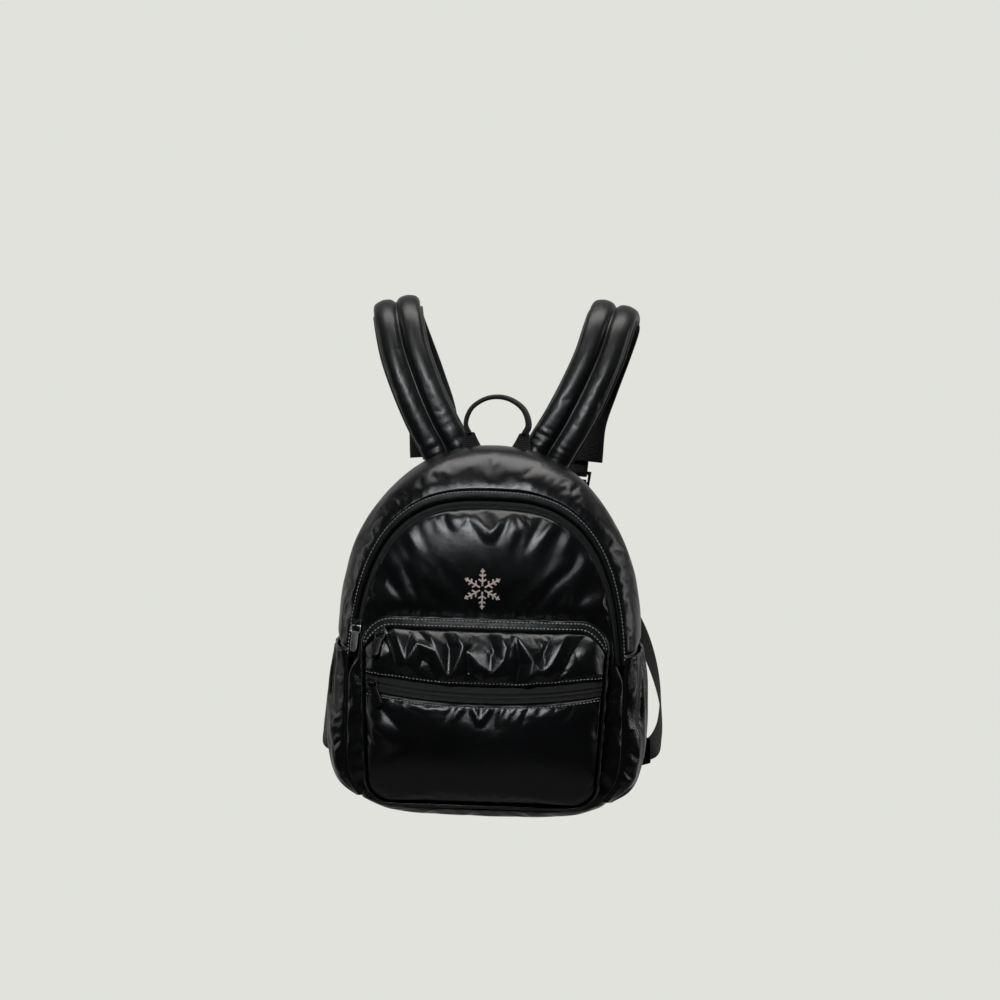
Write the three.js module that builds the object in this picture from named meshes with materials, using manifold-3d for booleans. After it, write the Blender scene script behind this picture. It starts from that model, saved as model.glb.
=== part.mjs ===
// A child's quilted puffer backpack, held up as it is worn: a hollow domed bag of padded panels, an arched main
// zip, a zipped front pocket, two side slip pockets, a carry handle and two padded shoulder straps.
// Millimetres. The bag is drawn with x to the right seen from its front, y = 0 at the wearer's back and
// negative towards the front, and z up from the base. The whole is then moved so that the origin lies midway
// between the undersides of the two strap crests, where the wearer's shoulders carry it.
import * as THREE from 'three';
import { mergeVertices } from 'three/addons/utils/BufferGeometryUtils.js';
import Module from 'manifold-3d';

// Bag body
const bagWidth = 275;
const bagDepth = 92;
const bellyHeight = 99;
const crownRise = 224;
const frontCrown = 12;
const topLean = 0.1;
const padWall = 6;
const clothWall = 2.6;
const panelPuff = 3.5;
const seamGap = 0.5;
const backEdgeBevel = 1.2;
const puffBelow = 12;
const puffAbove = 14;
const gatherLength = 34;
const gatherWidth = 8;
const gatherDepth = 3;
const gussetFoldDepth = 2.6;
const sideSeamRise = 61;
const sideSeamSlope = 13;
const baseSeamAngle = 38;

// Main zip, measured inwards from the front seam. The tape lies below the edges of the cloth on both sides.
const zipFlapWidth = 8.5;
const mainZipSlot = 6.5;
const sideZipShare = 0.25;
const zipEndAngle = 17.5;
const zipFlareAngle = 9;
const tapeRecess = 3.2;
const tapeThickness = 1.8;
const tapeOverlap = 2;
const coilHeight = 2;
const coilShare = 0.32;

// Front pocket
const pocketMargin = 28;
const pocketWidth = bagWidth - 2 * pocketMargin;
const pocketTop = 176;
const pocketFoot = 9;
const pocketDepth = 30;
const pocketTopRadius = 27;
const pocketFootRadius = 24;
const pocketTaper = 6;
const pocketFlapWidth = 8;
const pocketZipSlot = 4.5;
const lowerZipHeight = 110;
const lowerZipSag = 8.5;
const lowerZipWidth = 14;
const lowerZipRecess = 1.4;
const pocketEdgeShare = 0.62;
const pocketRimRise = 0.6;
const pocketGussetBulge = 0.8;
const pocketFoldWidth = 9;
const pocketFoldDepth = 3.6;
const flapPuff = 1.4;

// Side slip pockets
const slipClearance = 0.7;
const slipBulge = 0.8;
const slipHemDrop = 5;
const slipBack = 0.1;
const slipFront = 0.84;

// Carry handle and its tabs
const handleWidth = 10;
const handleThickness = 3;
const handleTwist = 22;
const handleHalfWidth = 25;
const handleRise = 34.5;
const tabHeight = 18;
const tabFoot = 21;
const tabHead = 7;
const tabThickness = 2.4;
const tabRise = 2.2;
const tabOffset = 21;
const tabDepth = 9;

// Shoulder straps
const strapWidth = 45;
const strapThickness = 13;
const backingWidth = 47;
const backingThickness = 2.6;
const backingGap = 0.5;
const shoulderHeight = 463;
const shoulderHalfWidth = 103;
const loopDepth = 148;
const strapStops = 28;
const backingStart = 3;
const keeperWidth = 14;
const keeperRise = 3.2;
const keeperSeat = 0.05;
const keeperStop = 17;

// Lower webbing, its wings, and the ladder locks at the straps' ends
const webbingWidth = 20;
const webbingThickness = 1.4;
const webbingStops = 22;
const wingThickness = 2.4;
const wingReach = 9.5;
const wingLength = 43;
const wingFoot = 30;
const wingHeight = 48;
const lockWidth = 28;
const lockThickness = 2.4;
const lockBar = 3.2;
const lockSide = 3;
const lockWindow = 7;
const lockDrop = 10;
const lockClear = 14;
const turnRadius = 3.3;
const tailLength = 62;

// Zip sliders and their pulls
const keelWidth = 3.4;
const keelLength = 8.6;
const sliderWidth = 8.2;
const sliderLength = 10.5;
const sliderPlate = 1.3;
const sliderHeight = 2.1;
const bridgeSpan = 7.2;
const bridgeBar = 1;
const bridgeWidth = 1.4;
const bridgeOpening = 2.4;
const pullThickness = 1;
const pullBar = 1;
const eyeWidth = 7.6;
const eyeLength = 4.7;
const pullTabWidth = 6.6;
const pullTabLength = 17;
const pullTaper = 2;

// Finishes
const finishes = {
  puffer: { color: 0x0c0d0e, roughness: 0.32, metalness: 0 },
  lining: { color: 0x111112, roughness: 0.8, metalness: 0 },
  zipTape: { color: 0x0e0e0f, roughness: 0.7, metalness: 0 },
  webbing: { color: 0x0d0c0c, roughness: 0.85, metalness: 0 },
  hardware: { color: 0x3a3a3a, roughness: 0.35, metalness: 0.8 },
  plastic: { color: 0x101010, roughness: 0.45, metalness: 0 },
};

// Outlines of the body seen from the front, from the back seam to the front seam. depth is a share of
// bagDepth, width of bagWidth, rise of crownRise and drop of bellyHeight. The powers square off the corners.
const bodySections = [
  { depth: 0.0, width: 0.9, rise: 0.915, drop: 0.88, topPower: 2.4, footPower: 3.4 },
  { depth: 0.12, width: 0.965, rise: 0.978, drop: 0.972, topPower: 2.35, footPower: 3.6 },
  { depth: 0.36, width: 0.985, rise: 0.997, drop: 1.012, topPower: 2.3, footPower: 3.7 },
  { depth: 0.6, width: 0.98, rise: 0.97, drop: 1.012, topPower: 2.4, footPower: 4.0 },
  { depth: 0.8, width: 0.945, rise: 0.905, drop: 0.99, topPower: 2.6, footPower: 4.5 },
  { depth: 0.9, width: 0.902, rise: 0.848, drop: 0.96, topPower: 2.8, footPower: 5.0 },
];

// How far the pocket stands out from the front panel. height is a share of the pocket's height, and out is a
// share of pocketDepth.
const pocketProfile = [
  { height: 0.0, out: 0.3 },
  { height: 0.1, out: 0.66 },
  { height: 0.25, out: 0.93 },
  { height: 0.45, out: 1.0 },
  { height: 0.65, out: 0.98 },
  { height: 0.85, out: 0.8 },
  { height: 1.0, out: 0.5 },
];

// Folds of the pocket's upper panel. top, middle and foot are shares of half the pocket's width, wide of
// pocketFoldWidth and deep of pocketFoldDepth.
const pocketFolds = [
  { top: -0.86, middle: -0.8, foot: -0.72, wide: 1.0, deep: 0.61 },
  { top: -0.62, middle: -0.66, foot: -0.58, wide: 1.0, deep: 0.94 },
  { top: -0.4, middle: -0.48, foot: -0.36, wide: 1.0, deep: 0.72 },
  { top: -0.22, middle: -0.14, foot: -0.26, wide: 1.0, deep: 1.0 },
  { top: -0.03, middle: 0.03, foot: -0.08, wide: 1.0, deep: 0.67 },
  { top: 0.16, middle: 0.22, foot: 0.12, wide: 1.0, deep: 1.0 },
  { top: 0.35, middle: 0.43, foot: 0.38, wide: 1.0, deep: 0.89 },
  { top: 0.64, middle: 0.6, foot: 0.55, wide: 1.0, deep: 0.94 },
  { top: 0.86, middle: 0.82, foot: 0.76, wide: 1.11, deep: 0.56 },
];

// Gathers of the front panel below the arched zip: where each meets the arch, in degrees from the right, how
// far it leans, in degrees over its length, and shares of gatherLength, gatherWidth and gatherDepth.
const archGathers = [
  { at: 128, lean: 3, long: 0.76, wide: 1.0, deep: 0.67 },
  { at: 114, lean: 2, long: 0.65, wide: 1.0, deep: 0.73 },
  { at: 100, lean: 1, long: 0.71, wide: 1.0, deep: 0.87 },
  { at: 88, lean: 0, long: 0.76, wide: 1.0, deep: 0.87 },
  { at: 80, lean: 2, long: 1.0, wide: 1.0, deep: 1.0 },
  { at: 70, lean: 3, long: 1.35, wide: 1.0, deep: 1.0 },
  { at: 56, lean: -2, long: 1.0, wide: 1.12, deep: 0.87 },
  { at: 44, lean: -2, long: 0.76, wide: 1.12, deep: 0.67 },
];

// Soft ridges that run along the top gusset. from and to are angles in degrees, the across and wide columns are
// shares from the back seam to the front seam, and deep is a share of gussetFoldDepth.
const gussetFolds = [
  { from: 96, to: 152, fromAcross: 0.3, toAcross: 0.86, wide: 0.13, deep: 1.0 },
  { from: 30, to: 78, fromAcross: 0.9, toAcross: 0.5, wide: 0.13, deep: 0.85 },
  { from: 28, to: 62, fromAcross: 0.5, toAcross: 0.74, wide: 0.12, deep: 0.77 },
  { from: 118, to: 150, fromAcross: 0.62, toAcross: 0.5, wide: 0.12, deep: 0.69 },
];

// Half of a strap's cross-section, from the middle of its underside round to the sewn channel. across is a
// share of half the width, height of the thickness.
const strapSection = [
  { across: 0, height: -0.5 },
  { across: 0.94, height: -0.5 },
  { across: 1, height: -0.2 },
  { across: 0.88, height: 0.28 },
  { across: 0.52, height: 0.5 },
  { across: 0.18, height: 0.36 },
  { across: 0, height: 0.02 },
];

// Centre line of the right strap. out is a share of shoulderHalfWidth, back of loopDepth, up of
// shoulderHeight, and the strap's face looks along nx, ny, nz.
const strapLine = [
  { out: 0.29, back: 0.048, up: 0.6177, nx: 0, ny: -1, nz: 0 },
  { out: 0.36, back: 0.048, up: 0.655, nx: 0, ny: -1, nz: 0 },
  { out: 0.46, back: 0.052, up: 0.7, nx: 0, ny: -1, nz: 0.04 },
  { out: 0.6, back: 0.075, up: 0.755, nx: 0.02, ny: -0.99, nz: 0.12 },
  { out: 0.74, back: 0.12, up: 0.82, nx: 0.04, ny: -0.96, nz: 0.25 },
  { out: 0.87, back: 0.195, up: 0.893, nx: 0.08, ny: -0.86, nz: 0.48 },
  { out: 0.95, back: 0.31, up: 0.957, nx: 0.16, ny: -0.6, nz: 0.78 },
  { out: 0.99, back: 0.48, up: 0.986, nx: 0.24, ny: -0.06, nz: 0.97 },
  { out: 1.0, back: 0.67, up: 0.972, nx: 0.2, ny: 0.45, nz: 0.87 },
  { out: 0.92, back: 0.84, up: 0.917, nx: 0.1, ny: 0.82, nz: 0.56 },
  { out: 0.8, back: 0.94, up: 0.84, nx: 0.04, ny: 0.97, nz: 0.24 },
  { out: 0.69, back: 0.99, up: 0.76, nx: 0.02, ny: 1, nz: 0.05 },
  { out: 0.66, back: 1.0, up: 0.68, nx: 0, ny: 1, nz: 0 },
];

// Centre line of the webbing from the wing at the bag's lower corner to the ladder lock. Here out is a share of
// half of bagWidth.
const webbingLine = [
  { out: 0.899, back: 0.0265, up: 0.117, nx: 0, ny: -1, nz: 0 },
  { out: 0.989, back: 0.0265, up: 0.117, nx: 0, ny: -1, nz: 0 },
  { out: 1.071, back: 0.06, up: 0.122, nx: 0.45, ny: -0.89, nz: 0 },
  { out: 1.116, back: 0.2, up: 0.15, nx: 0.94, ny: -0.34, nz: 0 },
  { out: 1.109, back: 0.42, up: 0.22, nx: 1, ny: 0.05, nz: 0 },
  { out: 0.989, back: 0.69, up: 0.32, nx: 0.84, ny: 0.54, nz: 0 },
  { out: 0.749, back: 0.9, up: 0.43, nx: 0.42, ny: 0.91, nz: 0 },
];

// Centre line of the handle, from the left tab over to the right one: shares of handleHalfWidth and handleRise.
const handleLine = [
  { out: -1.0, up: 0.03 },
  { out: -1.14, up: 0.26 },
  { out: -0.96, up: 0.67 },
  { out: -0.48, up: 0.93 },
  { out: 0.0, up: 1.0 },
  { out: 0.48, up: 0.93 },
  { out: 0.96, up: 0.67 },
  { out: 1.14, up: 0.26 },
  { out: 1.0, up: 0.03 },
];

// Where the sliders sit, how far their pulls swing sideways on the bridge, and how far they lean out at rest.
const sliders = [
  { zip: 'main_zip', at: 149.8, swing: 4, rest: 4 },
  { zip: 'pocket_zip', at: 126, swing: 52, rest: 16 },
  { zip: 'lower_zip', at: -0.92, swing: -52, rest: 8 },
];

const radians = THREE.MathUtils.degToRad;
const lerp = THREE.MathUtils.lerp;
const clamp = THREE.MathUtils.clamp;
const smoothstep = THREE.MathUtils.smoothstep;
const wasm = await Module();
wasm.setup();

// A smooth value of each column of a table at one value of its first column
function smoothTable(rows, key) {
  const columns = Object.keys(rows[0]).filter((name) => name !== key);
  const at = rows.map((row) => row[key]);
  const values = rows.flatMap((row) => columns.map((name) => row[name]));
  const curve = new THREE.CubicInterpolant(at, values, columns.length);
  return (t) => {
    const found = curve.evaluate(clamp(t, at[0], at[at.length - 1]));
    return Object.fromEntries(columns.map((name, i) => [name, found[i]]));
  };
}

const sectionAt = smoothTable(bodySections, 'depth');
const pocketOutAt = smoothTable(pocketProfile, 'height');
const frontSeam = bodySections[bodySections.length - 1];
const sideSeamAngle = (depth) => {
  const rise = sideSeamRise - (sideSeamSlope * depth) / frontSeam.depth;
  return Math.atan2(rise, (sectionAt(depth).width * bagWidth) / 2);
};

// Distance from the body's centre line to a section's outline, at an angle seen from the front
function outlineRadius(section, angle) {
  const over = Math.sin(angle) >= 0;
  const height = over ? section.rise * crownRise : section.drop * bellyHeight;
  const power = over ? section.topPower : section.footPower;
  const across = Math.abs(Math.cos(angle)) / ((section.width * bagWidth) / 2);
  const along = Math.abs(Math.sin(angle)) / height;
  return (across ** power + along ** power) ** (-1 / power);
}

// The top is a little shallower than the belly
function leanAt(z) {
  return 1 - topLean * clamp(z / (bellyHeight + crownRise), 0, 1.1) ** 2;
}

function bodyPoint(angle, depth, offset = 0) {
  const radius = outlineRadius(sectionAt(depth), angle) + offset;
  const z = bellyHeight + radius * Math.sin(angle);
  return new THREE.Vector3(radius * Math.cos(angle), -bagDepth * depth * leanAt(z), z);
}

// The front of the body inside its front seam, as y over x and z
function frontY(x, z) {
  const over = z >= bellyHeight;
  const height = over ? frontSeam.rise * crownRise : frontSeam.drop * bellyHeight;
  const power = over ? frontSeam.topPower : frontSeam.footPower;
  const halfWidth = (frontSeam.width * bagWidth) / 2;
  const across = Math.abs(x / halfWidth) ** power;
  const along = Math.abs((z - bellyHeight) / height) ** power;
  const reach = (across + along) ** (1 / power);
  return -(bagDepth * frontSeam.depth * leanAt(z) + frontCrown * (1 - reach ** 4));
}

function frontPoint(angle, inset) {
  const radius = outlineRadius(frontSeam, angle) - inset;
  const x = radius * Math.cos(angle);
  const z = bellyHeight + radius * Math.sin(angle);
  return new THREE.Vector3(x, frontY(x, z), z);
}

// Turns a mesh the right way out, drops the corners that the modeller doubled and shades it
function finished(geometry) {
  const bare = geometry.clone();
  bare.deleteAttribute('normal');
  bare.deleteAttribute('uv');
  const merged = mergeVertices(bare, 1e-3);
  const [a, b, c] = [new THREE.Vector3(), new THREE.Vector3(), new THREE.Vector3()];
  const index = merged.index.array;
  let volume = 0;
  for (let i = 0; i < index.length; i += 3) {
    a.fromBufferAttribute(merged.attributes.position, index[i]);
    b.fromBufferAttribute(merged.attributes.position, index[i + 1]);
    c.fromBufferAttribute(merged.attributes.position, index[i + 2]);
    volume += a.dot(b.cross(c));
  }
  for (let i = 0; volume < 0 && i < index.length; i += 3) {
    [index[i], index[i + 1]] = [index[i + 1], index[i]];
  }
  merged.computeVertexNormals();
  return merged;
}

// A panel is a box whose broad faces are bent onto an outer and an inner face, each a function of u and v.
function panel({ columns, rows, outer, inner }) {
  const box = new THREE.BoxGeometry(1, 1, 1, columns, rows, 1);
  const position = box.attributes.position;
  for (let i = 0; i < position.count; i += 1) {
    const face = position.getZ(i) > 0 ? outer : inner;
    const u = Math.round((position.getX(i) + 0.5) * columns) / columns;
    const v = Math.round((position.getY(i) + 0.5) * rows) / rows;
    position.setXYZ(i, ...face(u, v));
  }
  return finished(box);
}

// The two faces of a panel on a surface: relief raises the outer one, and wall sinks the inner one.
function paddedFaces(surface, normal, relief, wall = clothWall) {
  return {
    outer: (u, v) => surface(u, v).addScaledVector(normal(u, v), relief(u, v)),
    inner: (u, v) => surface(u, v).addScaledVector(normal(u, v), -wall),
  };
}

// The normal of a surface by small steps
function steppedNormal(surface) {
  const step = 1e-3;
  return (u, v) => {
    const alongU = surface(u + step, v).sub(surface(u - step, v));
    const alongV = surface(u, v + step).sub(surface(u, v - step));
    return alongU.cross(alongV).normalize();
  };
}

// The outward normal, over u and v, of a face given as y over x and z
function faceNormal(depthAt, surface) {
  const step = 0.5;
  return (u, v) => {
    const { x, z } = surface(u, v);
    const slopeX = (depthAt(x + step, z) - depthAt(x - step, z)) / (2 * step);
    const slopeZ = (depthAt(x, z + step) - depthAt(x, z - step)) / (2 * step);
    return new THREE.Vector3(slopeX, -1, slopeZ).normalize();
  };
}

// A pillow: 0 at the seams and 1 over most of the panel
function pillow(u, v) {
  const edge = (t) => 1 - Math.abs(2 * t - 1) ** 4;
  return Math.sqrt(Math.max(edge(u) * edge(v), 0));
}

function ridge(distance, width) {
  return Math.exp(-((distance / width) ** 2));
}

// A square of u and v bent onto a disc, with a third of its rows below the belly
function discPoint(u, v) {
  const share = 1 / 3;
  const split = v < share ? (v / share) * 0.5 : 0.5 + ((v - share) / (1 - share)) * 0.5;
  const a = 2 * u - 1;
  const b = 2 * split - 1;
  const x = a * Math.sqrt(1 - (b * b) / 2);
  const z = b * Math.sqrt(1 - (a * a) / 2);
  return { angle: Math.atan2(z, x), reach: Math.hypot(x, z) };
}

// Skin over a row of rings. The second half of each ring is cut along the other diagonal, so that opposite
// faces of a band match. An open row is closed by fans from the first point of its end rings.
function loft(rings, closed = false) {
  const count = rings[0].length;
  const index = [];
  const spans = closed ? rings.length : rings.length - 1;
  for (let i = 0; i < spans; i += 1) {
    const here = i * count;
    const next = ((i + 1) % rings.length) * count;
    for (let j = 0; j < count; j += 1) {
      const k = (j + 1) % count;
      const cut = j < count / 2 ? [here + j, next + k] : [next + j, here + k];
      index.push(here + j, next + j, cut[1], cut[0], next + k, here + k);
    }
  }
  const last = (rings.length - 1) * count;
  for (let j = 1; !closed && j < count - 1; j += 1) {
    index.push(0, j, j + 1, last, last + j + 1, last + j);
  }
  const geometry = new THREE.BufferGeometry();
  const places = rings.flat().flatMap((point) => [...point]);
  geometry.setAttribute('position', new THREE.Float32BufferAttribute(places, 3));
  geometry.setIndex(index);
  return finished(geometry);
}

// A flat band along stations that each hold a place, a width direction and a face direction
function band(stations, width, thickness) {
  const corners = [[-0.5, -0.5], [0, -0.5], [0.5, -0.5], [0.5, 0.5], [0, 0.5], [-0.5, 0.5]];
  const ring = ({ at, across, out }) =>
    corners.map(([a, b]) => at.clone().addScaledVector(across, a * width).addScaledVector(out, b * thickness));
  return loft(stations.map(ring));
}

// Evenly spaced stations of a smooth line through a table's rows
function stationsOf(rows, count, halfWidth) {
  const places = rows.map(({ out, back, up }) =>
    new THREE.Vector3(out * halfWidth, back * loopDepth, up * shoulderHeight));
  const looks = rows.map(({ nx, ny, nz }) => new THREE.Vector3(nx, ny, nz));
  const line = new THREE.CatmullRomCurve3(places, false, 'centripetal');
  const facing = new THREE.CatmullRomCurve3(looks, false, 'centripetal');
  return Array.from({ length: count + 1 }, (_, i) => {
    const t = line.getUtoTmapping(i / count);
    const along = line.getTangent(t).normalize();
    const look = facing.getPoint(t);
    const out = look.addScaledVector(along, -look.dot(along)).normalize();
    return { at: line.getPoint(t), along, out, across: new THREE.Vector3().crossVectors(along, out) };
  });
}

const group = new THREE.Group();
const bag = new THREE.Group();
group.add(bag);

function add(name, geometry, finish) {
  const mesh = new THREE.Mesh(geometry, new THREE.MeshStandardMaterial(finishes[finish]));
  mesh.name = name;
  bag.add(mesh);
}

// A piece on the right and its mirror image on the left
function addPair(name, geometry, finish) {
  add(`${name}_right`, geometry, finish);
  const mirrored = geometry.clone().applyMatrix4(new THREE.Matrix4().makeScale(-1, 1, 1));
  add(`${name}_left`, finished(mirrored), finish);
}

function solidOf(geometry) {
  const ready = finished(geometry);
  const vertProperties = new Float32Array(ready.attributes.position.array);
  const triVerts = new Uint32Array(ready.index.array);
  return new wasm.Manifold(new wasm.Mesh({ numProp: 3, vertProperties, triVerts }));
}

function geometryOf(solid) {
  const { vertProperties, triVerts } = solid.getMesh();
  const geometry = new THREE.BufferGeometry();
  geometry.setAttribute('position', new THREE.Float32BufferAttribute(vertProperties, 3));
  geometry.setIndex(new THREE.BufferAttribute(triVerts, 1));
  return finished(geometry);
}

// Body: the flat back, then the gusset, sides and base that share the body's surface
function backPanel() {
  const face = (y, inset) => (u, v) => {
    const { angle, reach } = discPoint(u, v);
    const radius = reach * (outlineRadius(bodySections[0], angle) - inset);
    return new THREE.Vector3(radius * Math.cos(angle), y, bellyHeight + radius * Math.sin(angle));
  };
  const outer = face(0, seamGap);
  const inner = face(-padWall, seamGap + backEdgeBevel);
  add('back_panel', panel({ columns: 12, rows: 12, outer, inner }), 'lining');
}

function bodyPanel({ angleFrom, angleTo, columns, relief }) {
  const trim = (1.6 * seamGap) / bagWidth;
  const angleAt = (u, depth) => lerp(angleFrom(depth) + trim, angleTo(depth) - trim, u);
  const surface = (u, v) => {
    const depth = lerp(seamGap / bagDepth, frontSeam.depth - seamGap / bagDepth, v);
    return bodyPoint(angleAt(u, depth), depth);
  };
  const outward = steppedNormal(surface);
  const backInside = (padWall + seamGap) / bagDepth;
  const frontInside = frontSeam.depth - (clothWall + 1.5 * seamGap) / bagDepth;
  const outer = (u, v) => {
    const point = surface(u, v).addScaledVector(outward(u, v), relief(u, v));
    return point.setZ(Math.max(point.z, 0));
  };
  const inner = (u, v) => {
    const depth = lerp(backInside, frontInside, v);
    const angle = angleAt(u, depth);
    const past = outlineRadius(sectionAt(depth), angle) - outlineRadius(frontSeam, angle);
    return bodyPoint(angle, depth, v < 1 ? -padWall : -Math.min(padWall, past + clothWall / 2));
  };
  return panel({ columns, rows: 8, outer, inner });
}

function gussetRelief(u, v) {
  const seam = sideSeamAngle(frontSeam.depth / 2);
  const angle = THREE.MathUtils.radToDeg(lerp(seam, Math.PI - seam, u));
  const folds = gussetFolds.reduce((sum, { from, to, fromAcross, toAcross, wide, deep }) => {
    const along = clamp((angle - from) / (to - from), 0, 1);
    const height = gussetFoldDepth * deep * Math.sin(Math.PI * along);
    return sum + height * ridge(v - lerp(fromAcross, toAcross, along), wide);
  }, 0);
  return pillow(u, v) * (panelPuff + folds);
}

function bodyPanels() {
  const seam = sideSeamAngle;
  const base = radians(baseSeamAngle);
  const flat = () => 0;
  const overTop = { angleFrom: seam, angleTo: (depth) => Math.PI - seam(depth) };
  const atSide = { angleFrom: () => -base, angleTo: seam };
  const underneath = { angleFrom: () => base - Math.PI, angleTo: () => -base };
  add('top_gusset', bodyPanel({ ...overTop, columns: 38, relief: gussetRelief }), 'puffer');
  addPair('side_panel', bodyPanel({ ...atSide, columns: 8, relief: flat }), 'puffer');
  add('base_panel', bodyPanel({ ...underneath, columns: 16, relief: flat }), 'puffer');
}

// Side slip pockets: a loose layer on each side panel, open along its upper hem
function slipPockets() {
  const surface = (u, v) => {
    const depth = lerp(slipBack, slipFront, v);
    const hem = sideSeamAngle(depth) - slipHemDrop / bagWidth;
    return bodyPoint(lerp(-radians(baseSeamAngle), hem, u), depth);
  };
  const outward = steppedNormal(surface);
  const layer = (lift) => (u, v) =>
    surface(u, v).addScaledVector(outward(u, v), lift + slipBulge * pillow(u, v));
  const outer = layer(slipClearance + clothWall);
  addPair('side_pocket', panel({ columns: 8, rows: 8, outer, inner: layer(slipClearance) }), 'puffer');
}

// Arched main zip. Its band narrows down the sides and runs out at the zip's ends.
function zipBandShare(angle) {
  const up = Math.abs(Math.sin(angle));
  const flare = smoothstep(up, Math.sin(radians(zipFlareAngle)), Math.sin(sideSeamAngle(frontSeam.depth)));
  return Math.sin(angle) <= 0 ? 0 : flare * lerp(sideZipShare, 1, up);
}

function mainZip() {
  const end = radians(zipEndAngle);
  const strip = (from, to, rows, relief, wall) => {
    const surface = (u, v) => {
      const angle = lerp(end, Math.PI - end, u);
      return frontPoint(angle, seamGap + lerp(from, to, v) * zipBandShare(angle));
    };
    return panel({ columns: 34, rows, ...paddedFaces(surface, faceNormal(frontY, surface), relief, wall) });
  };
  const slotEnd = zipFlapWidth + mainZipSlot;
  add('main_zip_flap', strip(0, zipFlapWidth, 2, (u, v) => flapPuff * pillow(0.5, v)), 'puffer');
  const coil = (u, v) => (Math.abs(v - 0.5) < coilShare / 2 ? coilHeight : 0) - tapeRecess;
  const tape = strip(zipFlapWidth - tapeOverlap, slotEnd + tapeOverlap, 5, coil, tapeRecess + tapeThickness);
  add('main_zip', tape, 'zipTape');
}

// The front panel starts above its pocket flat and is gathered along the arch.
function frontPanelFill(z) {
  return smoothstep(z, pocketTop - puffBelow, pocketTop + puffAbove);
}

function frontPanel() {
  const bandWidth = zipFlapWidth + mainZipSlot;
  const surface = (u, v) => {
    const { angle, reach } = discPoint(u, v);
    const radius = outlineRadius(frontSeam, angle);
    const edge = radius - 2 * seamGap - bandWidth * zipBandShare(angle);
    return frontPoint(angle, radius - reach * edge);
  };
  const relief = (u, v) => {
    const { angle, reach } = discPoint(u, v);
    const radius = outlineRadius(frontSeam, angle) - bandWidth;
    const fromEdge = radius * (1 - reach);
    const folds = archGathers.reduce((sum, { at, lean, long, wide, deep }) => {
      const down = fromEdge / (gatherLength * long);
      const centre = radians(at + lean * down);
      return sum + gatherDepth * deep * ridge((angle - centre) * radius, gatherWidth * wide) * ridge(down, 1);
    }, 0);
    const edge = Math.sqrt(Math.max(1 - reach ** 8, 0));
    return frontPanelFill(surface(u, v).z) * edge * (panelPuff + folds);
  };
  const faces = paddedFaces(surface, faceNormal(frontY, surface), relief);
  add('front_panel', panel({ columns: 26, rows: 17, ...faces }), 'puffer');
}

// Pocket: half its width at a height, and how far a rounded corner falls away from its edge
function pocketHalf(z) {
  const low = pocketFoot + pocketFootRadius;
  const high = pocketTop - pocketTopRadius;
  return pocketWidth / 2 - pocketTaper * (1 - clamp((z - low) / (high - low), 0, 1));
}

function cornerFall(across, halfWidth, radius) {
  const past = clamp(Math.abs(across) - (halfWidth - radius), 0, radius);
  return radius - Math.sqrt(radius ** 2 - past ** 2);
}

function pocketY(x, z) {
  const height = (z - pocketFoot) / (pocketTop - pocketFoot);
  const across = Math.min(Math.abs(x) / pocketHalf(z), 1);
  return frontY(x, z) - pocketDepth * pocketOutAt(height).out * lerp(1, pocketEdgeShare, across ** 3);
}

// The pocket's top edge and its bands follow an arch: up the left corner, across, and down the right corner.
function pocketArch(u, inset) {
  const corner = 0.2;
  const centre = pocketWidth / 2 - pocketTopRadius;
  const turn = clamp(u / corner, 0, 1) + clamp((u - 1 + corner) / corner, 0, 1);
  const angle = Math.PI * (1 - turn / 2);
  const along = clamp((u - corner) / (1 - 2 * corner), 0, 1);
  const radius = pocketTopRadius - inset;
  const x = lerp(-centre, centre, along) + radius * Math.cos(angle);
  const z = pocketTop - pocketTopRadius + radius * Math.sin(angle);
  return new THREE.Vector3(x, pocketY(x, z), z);
}

function pocketBand(from, to, rows, relief, wall) {
  const surface = (u, v) => pocketArch(u, lerp(from, to, v));
  return panel({ columns: 30, rows, ...paddedFaces(surface, faceNormal(pocketY, surface), relief, wall) });
}

// A piece of the pocket's face between two edges, each a height over a share of the pocket's half width
function pocketFace({ columns, rows, lower, upper, relief, wall }) {
  const surface = (u, v) => {
    const t = 2 * u - 1;
    const share = lerp(t, Math.sin((t * Math.PI) / 2), 0.25);
    const z = lerp(lower(share), upper(share), v);
    const x = share * (pocketHalf(z) - clothWall - seamGap);
    return new THREE.Vector3(x, pocketY(x, z), z);
  };
  const raised = (u, v) => relief(u, v, surface(u, v).x / (pocketWidth / 2));
  return panel({ columns, rows, ...paddedFaces(surface, faceNormal(pocketY, surface), raised, wall) });
}

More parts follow.
